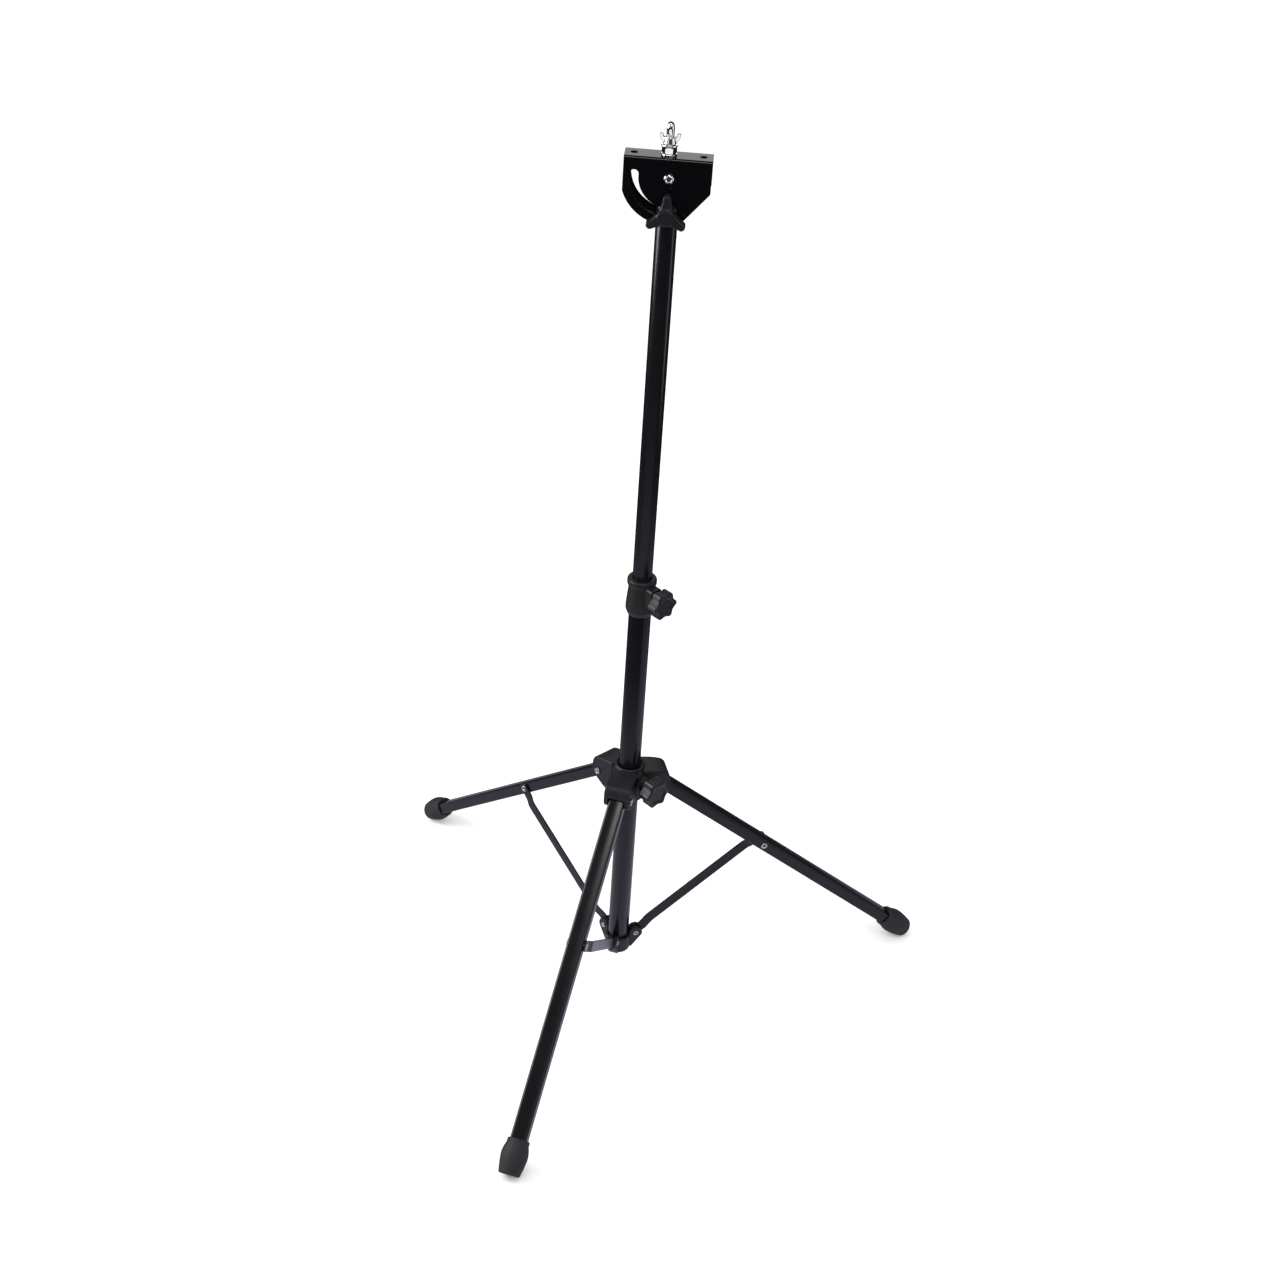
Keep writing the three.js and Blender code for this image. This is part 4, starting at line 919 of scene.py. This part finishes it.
insert = turned([(M8_R + NUT_GAP + 0.4, knob_at - 12), (5.7, knob_at - 12), (6, knob_at - 11.6),
                 (6, knob_at - 0.6), (5.7, knob_at - 0.2), (M8_R + NUT_GAP + 0.4, knob_at - 0.2),
                 (M8_R + NUT_GAP, knob_at - 0.6), (M8_R + NUT_GAP, knob_at - 11.6)], 216, knurled)
add("tilt_knob_insert", insert, on_clamp)


def three_arms(tip_r, tip_round, waist):
    """Three round-tipped arms joined by hollows that are drawn in towards the waist."""
    outline = []
    reach_out = tip_r - tip_round
    for arm in range(3):
        angle = 90 + 120 * arm
        tip = arc(*polar(reach_out, angle), tip_round, angle - 72, angle + 72, 18)
        x, y = polar(reach_out, angle + 120)
        step_x, step_y = polar(tip_round, angle + 120 - 72)
        hollow = polar(waist, angle + 60)
        outline += tip + bow(tip[-1], hollow, (x + step_x, y + step_y), 14)[1:-1]
    return outline


arms = side_plate(three_arms(22, 4.2, 5.5), knob_at - 13, knob_at - 2.5, 1.8, steps=5)
barrel = moved(turned([(0, knob_at - 15), (7.6, knob_at - 15), (8.6, knob_at - 14.5),
                       (9, knob_at - 13.4), (9, knob_at - 0.5), (8.5, knob_at), (0, knob_at)]),
               ALONG_Y)
seat_hole = moved(rod(6 + GAP, knob_at - 12.5, knob_at + 1, AROUND), ALONG_Y)
add("tilt_knob", moulded(cut(joined(barrel, arms), seat_hole), 0.3, 5), placed(CLAMP),
    "knob_plastic")

# ---------- folded bracket ----------
BEND_MID = BEND_R - SHEET / 2
FLAT_HALF = FOLD_HALF - BEND_R
BEND_RUN = BEND_MID * math.pi / 2
PIVOT_RUN = FLAT_HALF + BEND_RUN + FOLD_TOP - BEND_R


def flat_pattern():
    """The sheet before folding: X across the head, Y round the fold."""
    rise = FLAT_HALF + BEND_RUN
    start = -math.degrees(math.acos(BRACKET_LEFT / BRACKET_ARC))
    front = bow((BRACKET_RIGHT, -11), (BRACKET_RIGHT, -13), (BRACKET_RIGHT - 1, -14.2), 5)
    front += bow(SLOPE_FOOT, (14, -45.6), polar(BRACKET_ARC, ARC_END), 6)
    front += arc(0, 0, BRACKET_ARC, ARC_END, start, 60)[1:]
    down = [(x, z - PIVOT_RUN) for x, z in front]
    up = [(x, PIVOT_RUN - z) for x, z in reversed(front)]
    return [(BRACKET_RIGHT, -rise)] + down + [(BRACKET_LEFT, -rise), (BRACKET_LEFT, rise)] + up + [
        (BRACKET_RIGHT, rise)]


def clamp_slot():
    """The curved slot round the tilt axis that the clamp bolt runs in."""
    low, high = (-90 - angle for angle in CLAMP_SLOT_ENDS)
    outer, inner = CLAMP_SLOT_R + CLAMP_SLOT_HALF, CLAMP_SLOT_R - CLAMP_SLOT_HALF
    first, last = polar(CLAMP_SLOT_R, low), polar(CLAMP_SLOT_R, high)
    return (arc(0, 0, outer, low, high, 48) + arc(*last, CLAMP_SLOT_HALF, high, high - 180)[1:]
            + arc(0, 0, inner, high, low, 48)[1:]
            + arc(*first, CLAMP_SLOT_HALF, low - 180, low - 360)[1:-1])


def fold(points):
    """Wraps the flat sheet's Y round the two bends, which turn it down either side of the mast."""
    x, run, w = points.T
    side, s = np.sign(run), np.abs(run)
    bend = np.clip((s - FLAT_HALF) / BEND_MID, 0, math.pi / 2)
    drop = np.maximum(s - FLAT_HALF - BEND_RUN, 0)
    radius = BEND_MID + w
    y = side * (np.minimum(s, FLAT_HALF) + radius * np.sin(bend))
    z = FOLD_TOP - BEND_R + radius * np.cos(bend) - drop
    return np.stack([x, y, z], axis=1)


side_holes = [[(x, side * (PIVOT_RUN - z)) for x, z in hole]
              for hole in (clamp_slot(), circle(0, 0, M6_R + GAP)) for side in (-1, 1)]
top_holes = [circle(STUD_X + side * TOP_HOLE_PITCH / 2, 0, TOP_HOLE_R) for side in (-1, 1)]
top_holes.append(circle(STUD_X, 0, M8_R + GAP))
sheet = plate(flat_pattern(), -SHEET / 2, SHEET / 2, 0.35, side_holes + top_holes, 4)
bends = [(1, side * s) for side in (-1, 1)
         for s in np.linspace(FLAT_HALF, FLAT_HALF + BEND_RUN, 11)]
add("tilt_bracket", bent(sheet, bends, fold), placed(PIVOT), weighted=True)


def paint_socket_shade(piece):
    """Paints shade into the recess in the screw's head: its faces there get the dark plastic
    finish.
    """
    piece.data.materials.append(FINISHES["moulded_plastic"])
    local = piece.data.attributes["local"].data
    for polygon in piece.data.polygons:
        middle = sum((local[v].vector for v in polygon.vertices), Vector()) / len(polygon.vertices)
        if middle.xy.length < M6_R * 0.78 and middle.z > SOCKET_SHADE_DEPTH - face - BUTTON_H:
            # painted shade: recess faces take the dark plastic finish
            polygon.material_index = 1


on_pivot = placed(PIVOT) @ ALONG_Y
shank_end = FOLD_HALF + 10
button = [(0, -face - BUTTON_H), (2.0, -face - 3.15), (3.2, -face - 2.95), (4.0, -face - 2.6),
          (4.6, -face - 2.1), (5.1, -face - 1.4), (5.4, -face - 0.5), (5.3, -face),
          (M6_R, -face), (M6_R, shank_end - 0.6), (M6_R - 0.6, shank_end), (0, shank_end)]
pivot_screw = cut(threaded(M6_R, M6_PITCH, button, 4, shank_end - 0.1),
                  plate(hexagon(4), -face - 6, -face - 1))
# The recess in the head gets painted shade.
paint_socket_shade(add("pivot_screw", pivot_screw, on_pivot))
add("pivot_washer", washer(M6_R + GAP, 6, face, face + 1.2), on_pivot)
add("pivot_nut", hex_nut(M6_FLATS, M6_R + NUT_GAP, face + 1.2 + GAP, face + 6.2 + GAP), on_pivot)

# ---------- stud, nuts and wing nut ----------
on_stud = placed(STUD)
head_top = FOLD_TOP - SHEET - GAP
rod_profile = [(0, head_top - 1), (M8_R, head_top - 1), (M8_R, STUD_TOP - 7)]
rod_profile += [(M8_R * math.cos(t) ** 0.8, STUD_TOP - 7 + 7 * math.sin(t))
                for t in np.linspace(0, math.pi / 2, 12)[1:-1]] + [(0, STUD_TOP)]
stud = threaded(M8_R, M8_PITCH, rod_profile, head_top - 0.5, STUD_TOP - 12)
add("head_stud", joined(hex_block(M8_FLATS, head_top - 4.4, head_top), stud), on_stud)
washer_at = FOLD_TOP + GAP
nut_at = washer_at + 1.4 + GAP
nut_top = nut_at + 6.4
wing_washer_at = nut_top + 0.9
wing_at = wing_washer_at + 1.3 + GAP
add("stud_washer", washer(M8_R + NUT_GAP, 8, washer_at, washer_at + 1.4), on_stud)
add("stud_nut", hex_nut(M8_FLATS, M8_R + NUT_GAP, nut_at, nut_top), on_stud)
add("wing_washer", washer(M8_R + NUT_GAP, 8.4, wing_washer_at, wing_washer_at + 1.3), on_stud)


def wing_nut(base):
    barrel = turned([(0, base), (6.2, base), (6.4, base + 0.3), (6.4, base + 1),
                     (5.4, base + 6.6), (5.2, base + 7), (4.9, base + 7.2), (0, base + 7.2)])
    ear = [(3, base + 1.2)] + bow((6.4, base + 1.8), (9.8, base + 4), (10.2, base + 8), 10)
    ear += arc(8.6, base + 9, 2, 20, 144, 12)
    ear += bow((6.8, base + 9.4), (6.6, base + 6.4), (3, base + 6.2), 10)
    ears = [moved(side_plate(ear, -1.3, 1.3, 0.55), Matrix.Rotation(turn, 4, "Z"))
            for turn in (0, math.pi)]
    bored = cut(joined(barrel, *ears), rod(M8_R + NUT_GAP, base - 1, base + 14))
    return moulded(bored, 0.16, 4)


add("wing_nut", wing_nut(wing_at), on_stud)


# ---------- floor, light and camera ----------
def floor_material():
    """Pale matt floor. In the paint's reflections it fades out away from the stand."""
    material = bpy.data.materials.new("floor")
    material.use_nodes = True
    nodes = Nodes(material.node_tree)
    nodes.tree.nodes.clear()
    grain = nodes.add("ShaderNodeTexNoise", {"Scale": 900}).outputs["Fac"]
    tint = nodes.add("ShaderNodeMapRange", {"Value": grain, "To Min": 0.93, "To Max": 0.95})
    matt = nodes.add("ShaderNodeBsdfDiffuse", {"Color": tint.outputs["Result"]})
    position = nodes.add("ShaderNodeNewGeometry").outputs["Position"]
    away = nodes.add("ShaderNodeVectorMath", {0: position}, operation="LENGTH").outputs["Value"]
    fade = nodes.add("ShaderNodeMapRange", {
        "Value": away, "From Min": 0.1, "From Max": 1.25, "To Min": 0.5, "To Max": 0.02},
        interpolation_type="SMOOTHSTEP").outputs["Result"]
    glow = nodes.add("ShaderNodeEmission", {"Color": (0.98, 0.94, 1.2, 1), "Strength": fade})
    mirrored = nodes.add("ShaderNodeLightPath").outputs["Is Glossy Ray"]
    shown = nodes.add("ShaderNodeMixShader", {
        "Fac": mirrored, 1: matt.outputs["BSDF"], 2: glow.outputs["Emission"]})
    nodes.add("ShaderNodeOutputMaterial", {"Surface": shown.outputs["Shader"]})
    return material


WORLD_SEEN, WORLD_MIRRORED = 1.08, 0.05  # the world's brightness


def build_stage():
    half = 12.0
    mesh = bpy.data.meshes.new("floor")
    corners = [(-half, -half, 0), (half, -half, 0), (half, half, 0), (-half, half, 0)]
    mesh.from_pydata(corners, [], [(0, 1, 2, 3)])
    floor = linked("floor", mesh)
    floor.location.z = -0.4 * MM
    mesh.materials.append(floor_material())


def build_world():
    """Even white for the floor and the picture's edge, dim for what the paint reflects."""
    world = bpy.data.worlds.new("studio")
    bpy.context.scene.world = world
    world.use_nodes = True
    nodes = Nodes(world.node_tree)
    mirrored = nodes.add("ShaderNodeLightPath").outputs["Is Glossy Ray"]
    level = nodes.add("ShaderNodeMapRange", {
        "Value": mirrored, "To Min": WORLD_SEEN, "To Max": WORLD_MIRRORED})
    background = nodes.tree.nodes["Background"]
    nodes.feed(background.inputs["Color"], (1, 1, 1, 1))
    nodes.feed(background.inputs["Strength"], level.outputs["Result"])


def area(name, place, aim, size, radiance, along=(0, 0, 1), only=None):
    """A softbox facing aim, its second size along a direction; only= limits what it lights."""
    light = bpy.data.lights.new(name, "AREA")
    light.shape = "RECTANGLE"
    light.size, light.size_y = size
    light.energy = radiance * math.pi * size[0] * size[1]
    lamp = linked(name, light)
    back = (Vector(place) - Vector(aim)).normalized()
    across = Vector(along).cross(back).normalized()
    basis = Matrix((across, back.cross(across), back)).transposed()
    lamp.matrix_world = Matrix.Translation(MAST + Vector(place)) @ basis.to_4x4()
    lamp.visible_camera = False
    if only:
        lamp.light_linking.receiver_collection = only


build_stage()
build_world()
ALONG_LEG = (-0.535, -0.564, -0.629)  # the way the second side of the front leg's two lamps runs
LEG_A_MIDDLE = (-0.1, -0.15, 0.16)
area("left", (-1.65, -0.2, 1.1), LEG_A_MIDDLE, (1.1, 1.1), 6.5, ALONG_LEG)
area("front", (0.57, -1.19, 1.6), LEG_A_MIDDLE, (0.9, 0.9), 1.2, ALONG_LEG)
area("right", (1.9, -0.15, 0.5), (0, 0, 0.5), (0.5, 1.2), 1.2)
area("back", (0.1, 2.4, 1.9), (0, 0, 1.05), (1.7, 0.7), 1.2)
area("above", (-0.05, -0.95, 2.3), (0, 0, 1.05), (0.9, 0.3), 7.0)
area("metal_left", (-0.9, -1.5, 1.4), (0, 0, 1.0), (0.9, 0.9), 0.7, only=metal_group)
area("metal_right", (1.5, -0.7, 1.3), (0, 0, 0.9), (1.2, 1.6), 0.6, only=metal_group)
area("metal_low", (0.1, -2.4, 0.02), (0.1, -2.4, 1), (3.0, 2.6), 1.0, (0, 1, 0), metal_group)

CAMERA_BACK = Vector((0.0690, -1.8991, 1.7147))  # from the mast's foot
CAMERA_HEADING, CAMERA_PITCH, CAMERA_ROLL = 91.96, -32.95, 3.97
FOCAL = 56.265


def build_camera():
    data = bpy.data.cameras.new("camera")
    data.lens = FOCAL
    data.sensor_width = 36
    camera = linked("camera", data)
    bpy.context.scene.camera = camera
    heading, pitch, roll = (math.radians(a) for a in (CAMERA_HEADING, CAMERA_PITCH, CAMERA_ROLL))
    ahead = Vector((math.cos(heading) * math.cos(pitch), math.sin(heading) * math.cos(pitch),
                    math.sin(pitch)))
    level = ahead.cross(Vector((0, 0, 1))).normalized()
    up = level.cross(ahead)
    right = level * math.cos(roll) + up * math.sin(roll)
    up = up * math.cos(roll) - level * math.sin(roll)
    basis = Matrix((right, up, -ahead)).transposed()
    camera.matrix_world = Matrix.Translation(MAST + CAMERA_BACK) @ basis.to_4x4()
    data.clip_start, data.clip_end = 0.01, 50


build_camera()
bpy.context.scene.view_settings.view_transform = "Standard"
